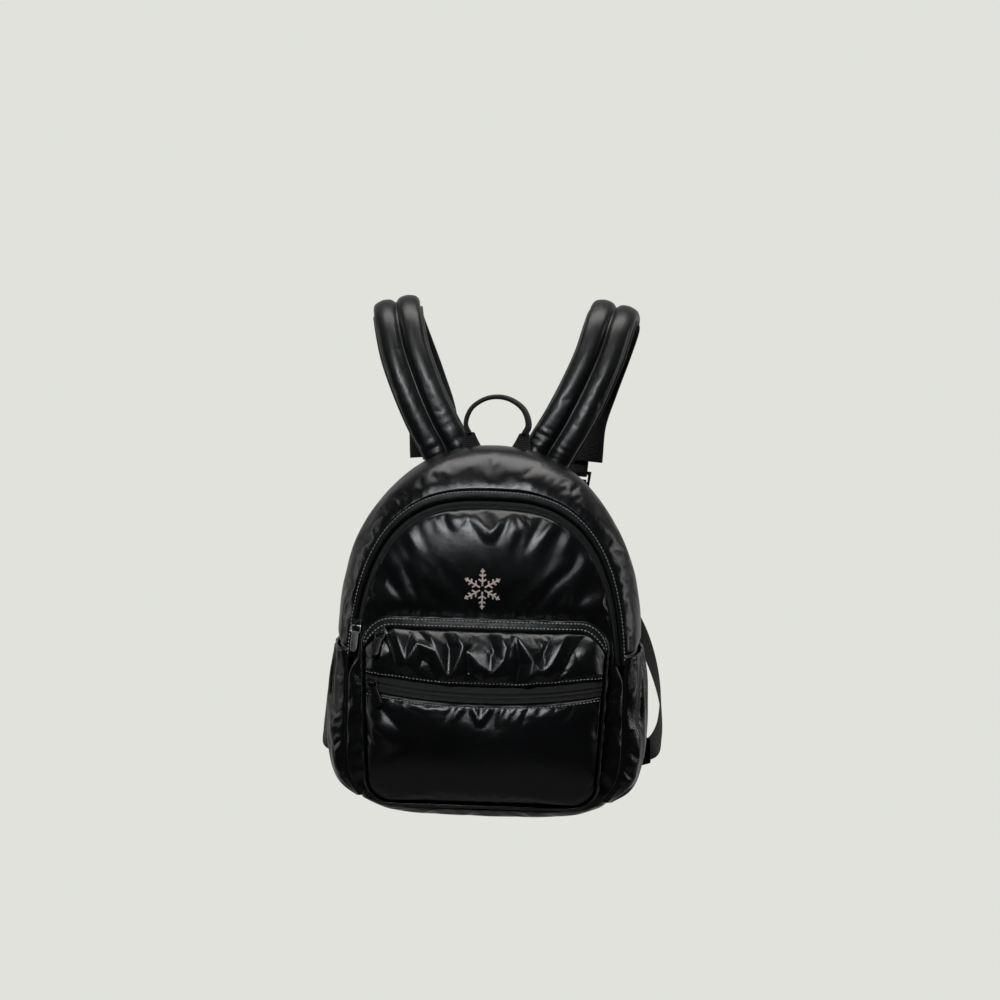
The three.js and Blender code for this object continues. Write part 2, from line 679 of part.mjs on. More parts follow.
function pocketPieces() {
  const rim = clothWall + seamGap;
  const half = pocketWidth / 2;
  const flapFoot = rim + pocketFlapWidth;
  const slotFoot = flapFoot + pocketZipSlot;
  const coil = (u, v) => (Math.abs(v - 0.5) < coilShare / 2 ? coilHeight : 0);
  const zipLine = (share) => lowerZipHeight + lowerZipSag * share ** 2;
  const panelTop = (share) => {
    const inset = slotFoot + seamGap;
    const across = share * (half - rim);
    const level = pocketTop - inset - cornerFall(across, half - inset, pocketTopRadius - inset);
    return Math.abs(across) < half - inset - 4 ? level : pocketTop - pocketTopRadius - seamGap;
  };
  const panelFoot = (share) => {
    const footHalf = half - pocketTaper - rim;
    return pocketFoot + rim + cornerFall(share * footHalf, footHalf, pocketFootRadius - rim);
  };
  const folds = (u, v, share) => pocketFolds.reduce((sum, { top, middle, foot, wide, deep }) => {
    const centre = v > 0.5 ? lerp(middle, top, 2 * v - 1) : lerp(foot, middle, 2 * v);
    return sum + pocketFoldDepth * deep * ridge((share - centre) * half, pocketFoldWidth * wide);
  }, panelPuff * 0.6);
  const lowerEdge = (share) => zipLine(share) - lowerZipWidth / 2;
  const upperEdge = (share) => zipLine(share) + lowerZipWidth / 2;

  add('pocket_flap', pocketBand(rim, flapFoot, 2, (u, v) => flapPuff * pillow(0.5, v)), 'puffer');
  const tape = pocketBand(
    flapFoot - tapeOverlap, slotFoot + tapeOverlap, 5,
    (u, v) => coil(u, v) - tapeRecess, tapeRecess + tapeThickness,
  );
  add('pocket_zip', tape, 'zipTape');
  add('pocket_upper_panel', pocketFace({
    columns: 38,
    rows: 6,
    lower: (share) => upperEdge(share) + seamGap,
    upper: panelTop,
    relief: (u, v, share) => pillow(u, v) * folds(u, v, share),
  }), 'puffer');
  add('lower_zip', pocketFace({
    columns: 20,
    rows: 5,
    lower: lowerEdge,
    upper: upperEdge,
    relief: (u, v) => coil(u, v) * 0.5 - lowerZipRecess,
    wall: lowerZipRecess + tapeThickness,
  }), 'zipTape');
  add('pocket_lower_panel', pocketFace({
    columns: 22,
    rows: 8,
    lower: panelFoot,
    upper: (share) => lowerEdge(share) - seamGap,
    relief: (u, v) => pillow(u, v) * panelPuff,
  }), 'puffer');
}

// The pocket's gusset: a ring of cloth from the front panel to the rim of the pocket's face
function pocketGusset() {
  const half = pocketWidth / 2;
  const footX = half - pocketTaper - pocketFootRadius;
  const footZ = pocketFoot + pocketFootRadius;
  const topX = half - pocketTopRadius;
  const topZ = pocketTop - pocketTopRadius;
  const outline = new THREE.Shape();
  outline.moveTo(footX, pocketFoot);
  outline.absarc(footX, footZ, pocketFootRadius, -Math.PI / 2, 0, false);
  outline.absarc(topX, topZ, pocketTopRadius, 0, Math.PI / 2, false);
  outline.absarc(-topX, topZ, pocketTopRadius, Math.PI / 2, Math.PI, false);
  outline.absarc(-footX, footZ, pocketFootRadius, Math.PI, 1.5 * Math.PI, false);
  outline.lineTo(footX, pocketFoot);
  const points = outline.curves.flatMap((curve) => curve.getPoints(curve.isLineCurve ? 9 : 7).slice(1));
  const rings = points.map((point, i) => {
    const before = points[(i + points.length - 1) % points.length];
    const after = points[(i + 1) % points.length];
    const inward = new THREE.Vector2(before.y - after.y, after.x - before.x).normalize();
    const place = (inset, share) => {
      const x = point.x + inward.x * inset;
      const z = point.y + inward.y * inset;
      const back = frontY(x, z) - 1.6 * seamGap - panelPuff * frontPanelFill(z);
      return new THREE.Vector3(x, lerp(back, pocketY(x, z) - pocketRimRise, share), z);
    };
    const outside = [place(0, 0), place(-pocketGussetBulge, 0.5), place(0, 1)];
    return [...outside, place(clothWall, 1), place(clothWall, 0)];
  });
  add('pocket_gusset', loft(rings, true), 'puffer');
}

// Carry handle: a webbing loop sewn into two tabs that stand on the gusset
function carryHandle() {
  const depth = tabDepth / bagDepth;
  const crest = bodyPoint(Math.PI / 2, depth).z + panelPuff;
  const head = crest + tabHeight;
  const face = (y) => (u, v) => {
    const x = lerp(tabOffset, handleHalfWidth, v) + (u - 0.5) * lerp(tabFoot, tabHead, v ** 0.7);
    const foot = bodyPoint(Math.acos(x / crownRise), depth).z + panelPuff + tabRise;
    return new THREE.Vector3(x, y - tabDepth, lerp(foot, head, v));
  };
  const tab = panel({ columns: 3, rows: 4, outer: face(-tabThickness / 2), inner: face(tabThickness / 2) });
  addPair('handle_tab', tab, 'webbing');
  const points = handleLine.map(({ out, up }) =>
    new THREE.Vector3(out * handleHalfWidth, -tabDepth, head + up * handleRise));
  const line = new THREE.CatmullRomCurve3(points, false, 'centripetal');
  const stops = 24;
  const stations = Array.from({ length: stops + 1 }, (_, i) => {
    const along = line.getTangentAt(i / stops);
    const across = new THREE.Vector3(0, 1, 0).applyAxisAngle(along, radians(handleTwist) * (i / stops) ** 2);
    return { at: line.getPointAt(i / stops), across, out: new THREE.Vector3().crossVectors(across, along) };
  });
  add('carry_handle', band(stations, handleWidth, handleThickness), 'webbing');
}

// Shoulder strap: quilted pad, backing, and a keeper over the crest
function strapRing({ at, across, out }) {
  const point = (side) => (row) =>
    at.clone()
      .addScaledVector(across, (side * row.across * strapWidth) / 2)
      .addScaledVector(out, row.height * strapThickness);
  const far = strapSection.slice(1, -1).reverse();
  return [...strapSection.map(point(1)), ...far.map(point(-1))];
}

function raised(station, height) {
  return { ...station, at: station.at.clone().addScaledVector(station.out, height) };
}

function shoulderStrap(stations) {
  addPair('strap_pad', loft(stations.map(strapRing)), 'puffer');
  const below = -(strapThickness + backingThickness) / 2 - backingGap;
  const backing = stations.slice(backingStart).map((station) => raised(station, below));
  addPair('strap_backing', band(backing, backingWidth, backingThickness), 'lining');
  const rests = strapThickness / 2 - keeperSeat;
  const rise = [rests, rests + keeperRise, rests];
  const keeper = rise.map((height, i) => raised(stations[keeperStop + i], height));
  addPair('strap_keeper', band(keeper, keeperWidth, webbingThickness), 'webbing');
}

// The webbing turns round a bar: a row of stations from one side of the bar to the other
function turnStations(centre, { along, across, out }, from, to) {
  const steps = 6;
  return Array.from({ length: steps + 1 }, (_, i) => {
    const angle = lerp(from, to, i / steps);
    const radial = out.clone().multiplyScalar(Math.cos(angle)).addScaledVector(along, Math.sin(angle));
    return { at: centre.clone().addScaledVector(radial, turnRadius), across, out: radial };
  });
}

// Ladder lock, the loop that holds it, and the webbing from the wing up through it to its free tail
function lowerStrap(end) {
  const place = (down, outwards) =>
    end.at.clone().addScaledVector(end.along, down).addScaledVector(end.out, outwards);
  const firstBar = lockDrop + lockBar / 2;
  const pitch = lockWindow + lockBar;
  const half = lockWidth / 2;
  const inside = half - lockSide;
  const outline = new THREE.Shape();
  outline.moveTo(-half, 0).lineTo(half, 0).lineTo(half - lockSide / 2, pitch * 2 + lockBar);
  outline.lineTo(lockSide / 2 - half, pitch * 2 + lockBar).closePath();
  for (const top of [lockBar, lockBar + pitch]) {
    const hole = new THREE.Path();
    hole.moveTo(-inside, top).lineTo(-inside, top + lockWindow);
    hole.lineTo(inside, top + lockWindow).lineTo(inside, top).closePath();
    outline.holes.push(hole);
  }
  const lock = new THREE.ExtrudeGeometry(outline, { depth: lockThickness, bevelEnabled: false });
  lock.translate(0, lockDrop, -lockThickness / 2);
  lock.applyMatrix4(new THREE.Matrix4().makeBasis(end.across, end.along, end.out).setPosition(end.at));
  addPair('strap_lock', finished(lock), 'plastic');

  const leg = (outwards) => ({ at: place(seamGap, outwards), across: end.across, out: end.out });
  const back = { ...leg(-webbingThickness), out: end.out.clone().negate() };
  const loop = [leg(webbingThickness), ...turnStations(place(firstBar, 0), end, 0, Math.PI), back];
  addPair('strap_loop', band(loop, webbingWidth, webbingThickness), 'webbing');

  const frame = { along: end.along, across: end.across.clone().negate(), out: end.out };
  const inward = end.out.clone().negate();
  const entry = place(firstBar + 2 * pitch + lockClear, -turnRadius);
  const under = { at: entry, across: frame.across, out: end.out };
  const turn = turnStations(place(firstBar + pitch, 0), frame, Math.PI, 2 * Math.PI).map((station) => ({
    ...station, out: station.out.negate(),
  }));
  const tail = [lockClear, tailLength / 2, tailLength].map((down) => ({
    at: place(firstBar + pitch + down, turnRadius + 0.04 * down), across: frame.across, out: inward,
  }));
  const webbing = [...stationsOf(webbingLine, webbingStops, bagWidth / 2), under, ...turn, ...tail];
  addPair('strap_webbing', band(webbing, webbingWidth, webbingThickness), 'webbing');
}

// A wing on the back panel's lower corner carries the webbing
function wings() {
  const middle = webbingLine[0].up * shoulderHeight;
  const wingOutside = bagWidth / 2 + wingReach;
  const wingInside = wingOutside - wingLength;
  const tip = webbingWidth / 2 + 2 * seamGap;
  const outline = new THREE.Shape();
  outline.moveTo(wingInside, wingFoot).lineTo(wingOutside, middle - tip);
  outline.lineTo(wingOutside, middle + tip).lineTo(wingInside, wingFoot + wingHeight).closePath();
  const plate = new THREE.ExtrudeGeometry(outline, { depth: wingThickness, bevelEnabled: false });
  plate.rotateX(Math.PI / 2).translate(0, wingThickness + seamGap, 0);
  addPair('strap_wing', finished(plate), 'puffer');
}

// Zip slider: a keel in the slot, a plate above the cloth and a bridge that the pull hangs on. Its frame has x
// along the zip, z outwards, and the seam level at 0.
const plateTop = sliderHeight + sliderPlate;
const hingeHeight = plateTop + bridgeOpening / 2;

function sliderSolid(foot) {
  const block = (length, width, low, high, x = 0) => {
    const box = new THREE.BoxGeometry(length, width, high - low);
    return solidOf(box.translate(x, 0, (low + high) / 2));
  };
  const post = bridgeSpan / 2 - bridgeBar / 2;
  const under = plateTop + bridgeOpening;
  return block(keelLength, keelWidth, foot, sliderHeight + 0.1)
    .add(block(sliderLength, sliderWidth, sliderHeight, plateTop))
    .add(block(bridgeBar, bridgeWidth, plateTop - 0.1, under + 0.1, post))
    .add(block(bridgeBar, bridgeWidth, plateTop - 0.1, under + 0.1, -post))
    .add(block(bridgeSpan, bridgeWidth, under, under + bridgeBar));
}

// The pull's frame has x from the hinge to its tip and y along the hinge.
function pullGeometry() {
  const eyeEnd = pullBar / 2 + eyeLength;
  const tip = eyeEnd + pullBar + pullTabLength;
  const broad = eyeWidth / 2 + pullBar;
  const narrow = pullTabWidth / 2;
  const outline = new THREE.Shape();
  outline.moveTo(-pullBar / 2, -broad).lineTo(eyeEnd, -broad).lineTo(eyeEnd + pullTaper, -narrow);
  outline.lineTo(tip - narrow, -narrow);
  outline.absarc(tip - narrow, 0, narrow, -Math.PI / 2, Math.PI / 2, false);
  outline.lineTo(eyeEnd + pullTaper, narrow).lineTo(eyeEnd, broad).lineTo(-pullBar / 2, broad).closePath();
  const eye = new THREE.Path();
  eye.moveTo(pullBar / 2, -eyeWidth / 2).lineTo(pullBar / 2, eyeWidth / 2);
  eye.lineTo(eyeEnd, eyeWidth / 2).lineTo(eyeEnd, -eyeWidth / 2).closePath();
  outline.holes.push(eye);
  const settings = { depth: pullThickness, bevelEnabled: false, curveSegments: 8 };
  return new THREE.ExtrudeGeometry(outline, settings).translate(0, 0, -pullThickness / 2);
}

function sliderFrame({ zip, at }) {
  const step = 0.01;
  const centreLines = {
    main_zip: (turn) => {
      const angle = radians(at + turn);
      return frontPoint(angle, seamGap + (zipFlapWidth + mainZipSlot / 2) * zipBandShare(angle));
    },
    pocket_zip: (turn) =>
      pocketArch(((180 - at - turn) / 90) * 0.2, clothWall + seamGap + pocketFlapWidth + pocketZipSlot / 2),
    lower_zip: (turn) => {
      const share = at + turn;
      const x = share * (pocketHalf(lowerZipHeight) - clothWall);
      const z = lowerZipHeight + lowerZipSag * share ** 2;
      return new THREE.Vector3(x, pocketY(x, z), z);
    },
  };
  const line = centreLines[zip];
  const spot = line(0);
  const depthAt = zip === 'main_zip' ? frontY : pocketY;
  const along = line(step).sub(line(-step)).normalize();
  const out = faceNormal(depthAt, () => spot)(0, 0);
  out.addScaledVector(along, -out.dot(along)).normalize();
  return new THREE.Matrix4().makeBasis(along, out.clone().cross(along), out).setPosition(spot);
}

function zipPulls() {
  for (const row of sliders) {
    const frame = sliderFrame(row);
    const coilTop = row.zip === 'lower_zip' ? coilHeight / 2 - lowerZipRecess : coilHeight - tapeRecess;
    const body = geometryOf(sliderSolid(coilTop + seamGap)).applyMatrix4(frame);
    add(`${row.zip}_slider`, body, 'hardware');
    const hang = new THREE.Matrix4().makeTranslation(0, 0, hingeHeight);
    hang.multiply(new THREE.Matrix4().makeRotationZ(radians(row.swing)));
    hang.multiply(new THREE.Matrix4().makeRotationY(-radians(row.rest)));
    add(`${row.zip}_pull`, finished(pullGeometry().applyMatrix4(hang).applyMatrix4(frame)), 'hardware');
  }
}

backPanel();
bodyPanels();
slipPockets();
frontPanel();
mainZip();
pocketPieces();
pocketGusset();
carryHandle();
zipPulls();
const strapStations = stationsOf(strapLine, strapStops, shoulderHalfWidth);
shoulderStrap(strapStations);
lowerStrap(strapStations[strapStops]);
wings();

const crest = strapStations.reduce((best, station) => (station.at.z > best.at.z ? station : best));
const underside = raised(crest, -strapThickness / 2 - backingGap - backingThickness).at;
bag.position.set(0, -underside.y, -underside.z);

export default group;
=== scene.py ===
# Looks of a child's quilted puffer backpack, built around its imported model.
# The bag is drawn in millimetres: x to the right seen from its front, y = 0 at the wearer's back and negative
# towards the front, z up from the base. bagOrigin puts that on the frame.
import math

import bmesh
import bpy
import numpy as np
from mathutils import Matrix, Vector


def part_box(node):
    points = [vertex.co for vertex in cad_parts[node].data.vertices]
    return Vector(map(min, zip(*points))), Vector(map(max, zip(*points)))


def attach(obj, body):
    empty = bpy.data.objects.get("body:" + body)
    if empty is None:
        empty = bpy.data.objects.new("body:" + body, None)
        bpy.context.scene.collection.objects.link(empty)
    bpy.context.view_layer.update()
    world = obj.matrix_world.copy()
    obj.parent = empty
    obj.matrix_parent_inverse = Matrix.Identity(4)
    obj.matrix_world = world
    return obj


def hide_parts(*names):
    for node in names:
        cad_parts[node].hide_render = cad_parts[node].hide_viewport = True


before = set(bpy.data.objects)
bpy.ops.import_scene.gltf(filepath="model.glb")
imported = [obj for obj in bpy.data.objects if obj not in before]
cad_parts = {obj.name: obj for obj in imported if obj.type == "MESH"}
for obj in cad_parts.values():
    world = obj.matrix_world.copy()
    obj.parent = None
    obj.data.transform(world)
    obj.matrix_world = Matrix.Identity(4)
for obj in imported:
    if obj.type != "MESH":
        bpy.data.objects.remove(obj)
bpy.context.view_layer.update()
bagOrigin = np.array((0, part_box("back_panel")[1].y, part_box("base_panel")[0].z))
print("frame loaded", len(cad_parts), "nodes")


def mix(a, b, t):
    return a + (b - a) * t


def ramp(x, low, high):
    t = np.clip((x - low) / (high - low), 0, 1)
    return t * t * (3 - 2 * t)


def ridge(distance, width):
    return np.exp(-((distance / width) ** 2))


def unit(vectors):
    return vectors / np.maximum(np.linalg.norm(vectors, axis=-1, keepdims=True), 1e-9)


# How far along a line each of its points is
def farAlong(points):
    return np.concatenate(([0], np.cumsum(np.linalg.norm(np.diff(points, axis=0), axis=1))))


# Smooth columns over a table's first one: the function found gives each by its name
def smoothTable(columns, rows):
    table = np.array(rows, float)
    at, values = table[:, 0], table[:, 1:]
    last = len(at) - 1

    def read(t):
        t = np.clip(np.asarray(t, float), at[0], at[-1])
        i = np.clip(np.searchsorted(at, t, side="right"), 1, last)
        before, after = np.where(i > 1, i - 2, i), np.where(i < last, i + 1, i - 1)
        t0, t1 = at[i - 1], at[i]
        half = (t1 - t0) / 2
        wide, far = half / (t0 - at[before]), half / (at[after] - t1)
        wide, far = np.where(i > 1, wide, -0.5)[..., None], np.where(i < last, far, -0.5)[..., None]
        p = ((t - t0) / (t1 - t0))[..., None]
        found = (-wide * p**3 + 2 * wide * p**2 - wide * p) * values[before]
        found += ((1 + wide) * p**3 - (1.5 + 2 * wide) * p**2 + (wide - 0.5) * p + 1) * values[i - 1]
        found += (-(1 + far) * p**3 + (1.5 + far) * p**2 + 0.5 * p) * values[i]
        found += (far * p**3 - far * p**2) * values[after]
        return {name: found[..., k] for k, name in enumerate(columns[1:])}

    return read


# Body of the bag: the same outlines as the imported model
bag = {
    "width": 275, "depth": 92, "belly": 99, "crown": 224, "frontCrown": 12, "lean": 0.1,
    "sideSeamRise": 61, "sideSeamSlope": 13, "baseAngle": 38, "puff": 3.5, "seamGap": 0.5, "cloth": 2.6,
}
sectionColumns = ("depth", "width", "rise", "drop", "topPower", "footPower")
bodySections = [
    (0.0, 0.9, 0.915, 0.88, 2.4, 3.4),
    (0.12, 0.965, 0.978, 0.972, 2.35, 3.6),
    (0.36, 0.985, 0.997, 1.012, 2.3, 3.7),
    (0.6, 0.98, 0.97, 1.012, 2.4, 4.0),
    (0.8, 0.945, 0.905, 0.99, 2.6, 4.5),
    (0.9, 0.902, 0.848, 0.96, 2.8, 5.0),
]
sectionAt = smoothTable(sectionColumns, bodySections)
frontSeam = dict(zip(sectionColumns, bodySections[-1]))
backSeam = dict(zip(sectionColumns, bodySections[0]))


def outlineRadius(section, angle):
    over = np.sin(angle) >= 0
    height = np.where(over, section["rise"] * bag["crown"], section["drop"] * bag["belly"])
    power = np.where(over, section["topPower"], section["footPower"])
    across = np.abs(np.cos(angle)) / (section["width"] * bag["width"] / 2)
    along = np.abs(np.sin(angle)) / height
    return (across**power + along**power) ** (-1 / power)


def leanAt(z):
    return 1 - bag["lean"] * np.clip(z / (bag["belly"] + bag["crown"]), 0, 1.1) ** 2


def bodyPoint(angle, depth):
    radius = outlineRadius(sectionAt(depth), angle)
    z = bag["belly"] + radius * np.sin(angle)
    return np.stack((radius * np.cos(angle), -bag["depth"] * depth * leanAt(z), z), -1)


def frontY(x, z):
    over = z >= bag["belly"]
    height = np.where(over, frontSeam["rise"] * bag["crown"], frontSeam["drop"] * bag["belly"])
    power = np.where(over, frontSeam["topPower"], frontSeam["footPower"])
    across = np.abs(x / (frontSeam["width"] * bag["width"] / 2)) ** power
    reach = (across + np.abs((z - bag["belly"]) / height) ** power) ** (1 / power)
    return -(bag["depth"] * frontSeam["depth"] * leanAt(z) + bag["frontCrown"] * (1 - reach**4))


def frontPoint(angle, inset):
    radius = outlineRadius(frontSeam, angle) - inset
    x, z = radius * np.cos(angle), bag["belly"] + radius * np.sin(angle)
    return np.stack((x, frontY(x, z), z), -1)


def sideSeamAngle(depth):
    rise = bag["sideSeamRise"] - bag["sideSeamSlope"] * depth / frontSeam["depth"]
    return np.arctan2(rise, sectionAt(depth)["width"] * bag["width"] / 2)


def pillow(u, v, power=4):
    edge = lambda t: 1 - np.abs(2 * t - 1) ** power
    return np.sqrt(np.maximum(edge(u) * edge(v), 0))


# Soft uneven noise over a piece, from a few waves in random directions
def rumple(u, v, scale, seed):
    waves = np.random.default_rng(seed)
    total = np.zeros_like(u)
    for _ in range(9):
        turn, phase, size = waves.uniform(0, math.tau), waves.uniform(0, math.tau), waves.uniform(0.6, 1.7)
        total += np.sin((u * math.cos(turn) + v * math.sin(turn)) * math.tau * size / scale + phase)
    return total / 4.5


# Sharp crests along rows of (x, z, height), with flat slopes beside them
def creased(x, z, crests, width):
    folds = np.zeros_like(x)
    for crest in crests:
        for (ax, az, aHigh), (bx, bz, bHigh) in zip(crest[:-1], crest[1:]):
            t = ((x - ax) * (bx - ax) + (z - az) * (bz - az)) / ((bx - ax) ** 2 + (bz - az) ** 2)
            t = np.clip(t, 0, 1)
            far = np.sqrt((x - mix(ax, bx, t)) ** 2 + (z - mix(az, bz, t)) ** 2 + 0.5)
            folds = np.maximum(folds, mix(aHigh, bHigh, t) * np.maximum(1 - far / width, 0))
    return folds


# A bmesh becomes a new object in the scene
def newPiece(name, shape, smooth=True):
    mesh = bpy.data.meshes.new(name)
    shape.to_mesh(mesh)
    shape.free()
    mesh.polygons.foreach_set("use_smooth", np.full(len(mesh.polygons), smooth))
    piece = bpy.data.objects.new(name, mesh)
    bpy.context.scene.collection.objects.link(piece)
    return piece


# Cloth: a grid bent onto a surface, with its seams pinned, that is then inflated. spots holds rows by columns of
# places in metres, and order says which vertex each became.
def gridMesh(name, spots):
    rows, columns = spots.shape[0] - 1, spots.shape[1] - 1
    shape = bmesh.new()
    bmesh.ops.create_grid(shape, x_segments=columns, y_segments=rows, size=0.5)
    cloth = shape.loops.layers.uv.new("cloth")
    wide = np.linalg.norm(np.diff(spots, axis=1), axis=-1).sum(1).mean()
    tall = np.linalg.norm(np.diff(spots, axis=0), axis=-1).sum(0).mean()
    for face in shape.faces:
        for corner in face.loops:
            corner[cloth].uv = ((corner.vert.co.x + 0.5) * wide, (corner.vert.co.y + 0.5) * tall)
    shape.verts.ensure_lookup_table()
    order = np.zeros((rows + 1, columns + 1), int)
    for vert in shape.verts:
        row, column = round((vert.co.y + 0.5) * rows), round((vert.co.x + 0.5) * columns)
        order[row, column] = vert.index
        vert.co = spots[row, column]
    return newPiece(name, shape), order


def gridNormals(spots):
    return unit(np.cross(np.gradient(spots, axis=1), np.gradient(spots, axis=0)))


def gridShares(columns, rows):
    return np.meshgrid(np.linspace(0, 1, columns + 1), np.linspace(0, 1, rows + 1))


# A grid whose faces look inwards has its columns turned round
def facing(outwards, u, v, start, normals):
    return (u, v, start, normals) if outwards else (u[:, ::-1], v[:, ::-1], start[:, ::-1], -normals[:, ::-1])


def panelOf(name, u, start, normals, spots, cap=None):
    piece, order = gridMesh(name, spots / 1000 + bagOrigin)
    return {"piece": piece, "order": order, "u": u, "start": start, "normals": normals, "spots": spots, "cap": cap,
            "columns": u.shape[1] - 1, "rows": u.shape[0] - 1}


# A panel of padded cloth. surface gives places in millimetres over u and v, and relief lifts them. grow is how
# much too large the cloth is cut, and gatherGrow the same where gathers(u, v) is 1. cap is the farthest that a
# point may move in and out, and middle is a place inside the panel.
def clothPiece(name, surface, columns, rows, relief=None, pins=None, grow=None, gathers=None, gatherGrow=0.1,
               pressure=1.0, cap=(-1, 6), seamDrop=1.0, middle=(0, -45, 150)):
    u, v = gridShares(columns, rows)
    base = surface(u, v)
    normals = gridNormals(base)
    outwards = np.sum(normals * (base - np.array(middle)), -1).mean() > 0
    u, v, base, normals = facing(outwards, u, v, base, normals)
    lift = relief(u, v) if relief else np.zeros_like(u)
    rim = np.zeros_like(u)
    rim[[0, -1]] = rim[:, [0, -1]] = 1
    start = base + normals * (lift - seamDrop * rim)[..., None]
    panel = panelOf(name, u, start, normals, start, cap)
    held = rim if pins is None else np.maximum(rim, pins(u, v))
    if grow is not None:
        addCloth(panel, held, grow, pressure, gathers(u, v) if gathers else None, gatherGrow)
    return panel


clothWork = {"frames": 20, "speed": 2.0, "quality": 6, "mass": 0.05, "tension": 15, "shear": 5, "bending": 0.6,
             "damping": 10, "airDamping": 4, "pressure": 8.0, "slide": 4}


def weighted(panel, name, weights):
    group = panel["piece"].vertex_groups.new(name=name)
    steps = np.round(weights, 1)
    for weight in np.unique(steps[steps > 0]):
        group.add(np.unique(panel["order"][steps == weight]).tolist(), float(weight), "REPLACE")


def addCloth(panel, held, grow, pressure, gathered=None, gatherGrow=0.1):
    weighted(panel, "seams", held)
    work = panel["piece"].modifiers.new("Cloth", "CLOTH")
    settings = work.settings
    settings.shrink_min = -grow
    if gathered is not None:
        weighted(panel, "gathers", gathered)
        settings.vertex_group_shrink = "gathers"
        settings.shrink_max = -gatherGrow
    settings.time_scale = clothWork["speed"]
    settings.vertex_group_mass = "seams"
    settings.pin_stiffness = 1
    settings.quality = clothWork["quality"]
    settings.mass = clothWork["mass"]
    settings.tension_stiffness = settings.compression_stiffness = clothWork["tension"]
    settings.shear_stiffness = clothWork["shear"]
    settings.bending_stiffness = clothWork["bending"]
    settings.tension_damping = settings.compression_damping = clothWork["damping"]
    settings.air_damping = clothWork["airDamping"]
    settings.use_pressure = True
    settings.uniform_pressure_force = clothWork["pressure"] * pressure
    settings.effector_weights.gravity = 0
    work.collision_settings.use_collision = False
    work.point_cache.frame_start = 1
    work.point_cache.frame_end = clothWork["frames"]
    panel["work"] = work


# All the cloth is inflated together, then each point's way is capped and written into its mesh
def runCloth(panels):
    busy = [panel for panel in panels if "work" in panel]
    if busy:
        for step in range(1, clothWork["frames"] + 1):
            bpy.context.scene.frame_set(step)
        graph = bpy.context.evaluated_depsgraph_get()
        for panel in busy:
            found = np.zeros(len(panel["piece"].data.vertices) * 3)
            panel["piece"].evaluated_get(graph).data.vertices.foreach_get("co", found)
            panel["found"] = (found.reshape(-1, 3)[panel["order"]] - bagOrigin) * 1000
        for panel in busy:
            panel["piece"].modifiers.remove(panel["piece"].modifiers["Cloth"])
            panel["piece"].vertex_groups.clear()
        bpy.context.scene.frame_set(1)
    for panel in panels:
        if "found" in panel:
            moved = panel["found"] - panel["start"]
            out = np.sum(moved * panel["normals"], -1)
            aside = moved - out[..., None] * panel["normals"]
            low, high = panel["cap"]
            capped = np.where(out > 0, high * np.tanh(out / high), low * np.tanh(out / low))
            far = np.linalg.norm(aside, axis=-1, keepdims=True)
            aside *= np.minimum(1, clothWork["slide"] / np.maximum(far, 1e-6))
            print(panel["piece"].name, "out", round(float(out.min()), 2), round(float(out.mean()), 2),
                  round(float(out.max()), 2))
            panel["spots"] = panel["start"] + capped[..., None] * panel["normals"] + aside
        write(panel)


def write(panel):
    places = np.zeros((len(panel["piece"].data.vertices), 3))
    places[panel["order"]] = panel["spots"] / 1000 + bagOrigin
    panel["piece"].data.vertices.foreach_set("co", places.ravel())
    panel["piece"].data.update()
    panel["lie"] = gridNormals(panel["spots"])


def smoothed(piece):
    smooth = piece.modifiers.new("Smooth", "SUBSURF")
    smooth.levels = smooth.render_levels = 1


def finishCloth(panel, wall, material, node, slot="puffer"):
    piece = panel["piece"]
    smoothed(piece)
    thick = piece.modifiers.new("Wall", "SOLIDIFY")
    thick.thickness = wall / 1000
    thick.offset = -1
    settle(piece, material, slot, "root", node)


def settle(piece, material, slot, body, *nodes):
    piece.data.materials.clear()
    piece.data.materials.append(material)
    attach(piece, body)
    if nodes:
        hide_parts(*nodes)
    return piece


# Places and normals on a finished panel at shares u and v of it
def spotOn(panel, u, v, lift=0.0):
    across = (np.asarray(u, float) if panel["u"][0, 0] < 0.5 else 1 - np.asarray(u, float)) * panel["columns"]
    along = np.asarray(v, float) * panel["rows"]
    i = np.clip(np.floor(across).astype(int), 0, panel["columns"] - 1)
    j = np.clip(np.floor(along).astype(int), 0, panel["rows"] - 1)
    a, b = (across - i)[..., None], (along - j)[..., None]
    read = lambda grid: ((grid[j, i] * (1 - a) + grid[j, i + 1] * a) * (1 - b)
                         + (grid[j + 1, i] * (1 - a) + grid[j + 1, i + 1] * a) * b)
    normal = unit(read(panel["lie"]))
    return read(panel["spots"]) + normal * lift, normal


# Shader nodes: a socket that numbers and other sockets can be added to, multiplied with and so on
class Shade:
    def __init__(self, tree, socket):
        self.tree, self.socket = tree, socket

    def maths(self, operation, *values):
        node = self.tree.nodes.new("ShaderNodeMath")
        node.operation = operation
        for place, value in zip(node.inputs, values):
            if isinstance(value, Shade):
                self.tree.links.new(value.socket, place)
            else:
                place.default_value = value
        return Shade(self.tree, node.outputs[0])

    def __add__(self, other):
        return self.maths("ADD", self, other)

    def __radd__(self, other):
        return self.maths("ADD", other, self)

    def __sub__(self, other):
        return self.maths("SUBTRACT", self, other)

    def __rsub__(self, other):
        return self.maths("SUBTRACT", other, self)

    def __mul__(self, other):
        return self.maths("MULTIPLY", self, other)

    def __rmul__(self, other):
        return self.maths("MULTIPLY", other, self)

    def sine(self):
        return self.maths("SINE", self)

    def size(self):
        return self.maths("ABSOLUTE", self)

    def least(self, other):
        return self.maths("MINIMUM", self, other)

    def most(self, other):
        return self.maths("MAXIMUM", self, other)


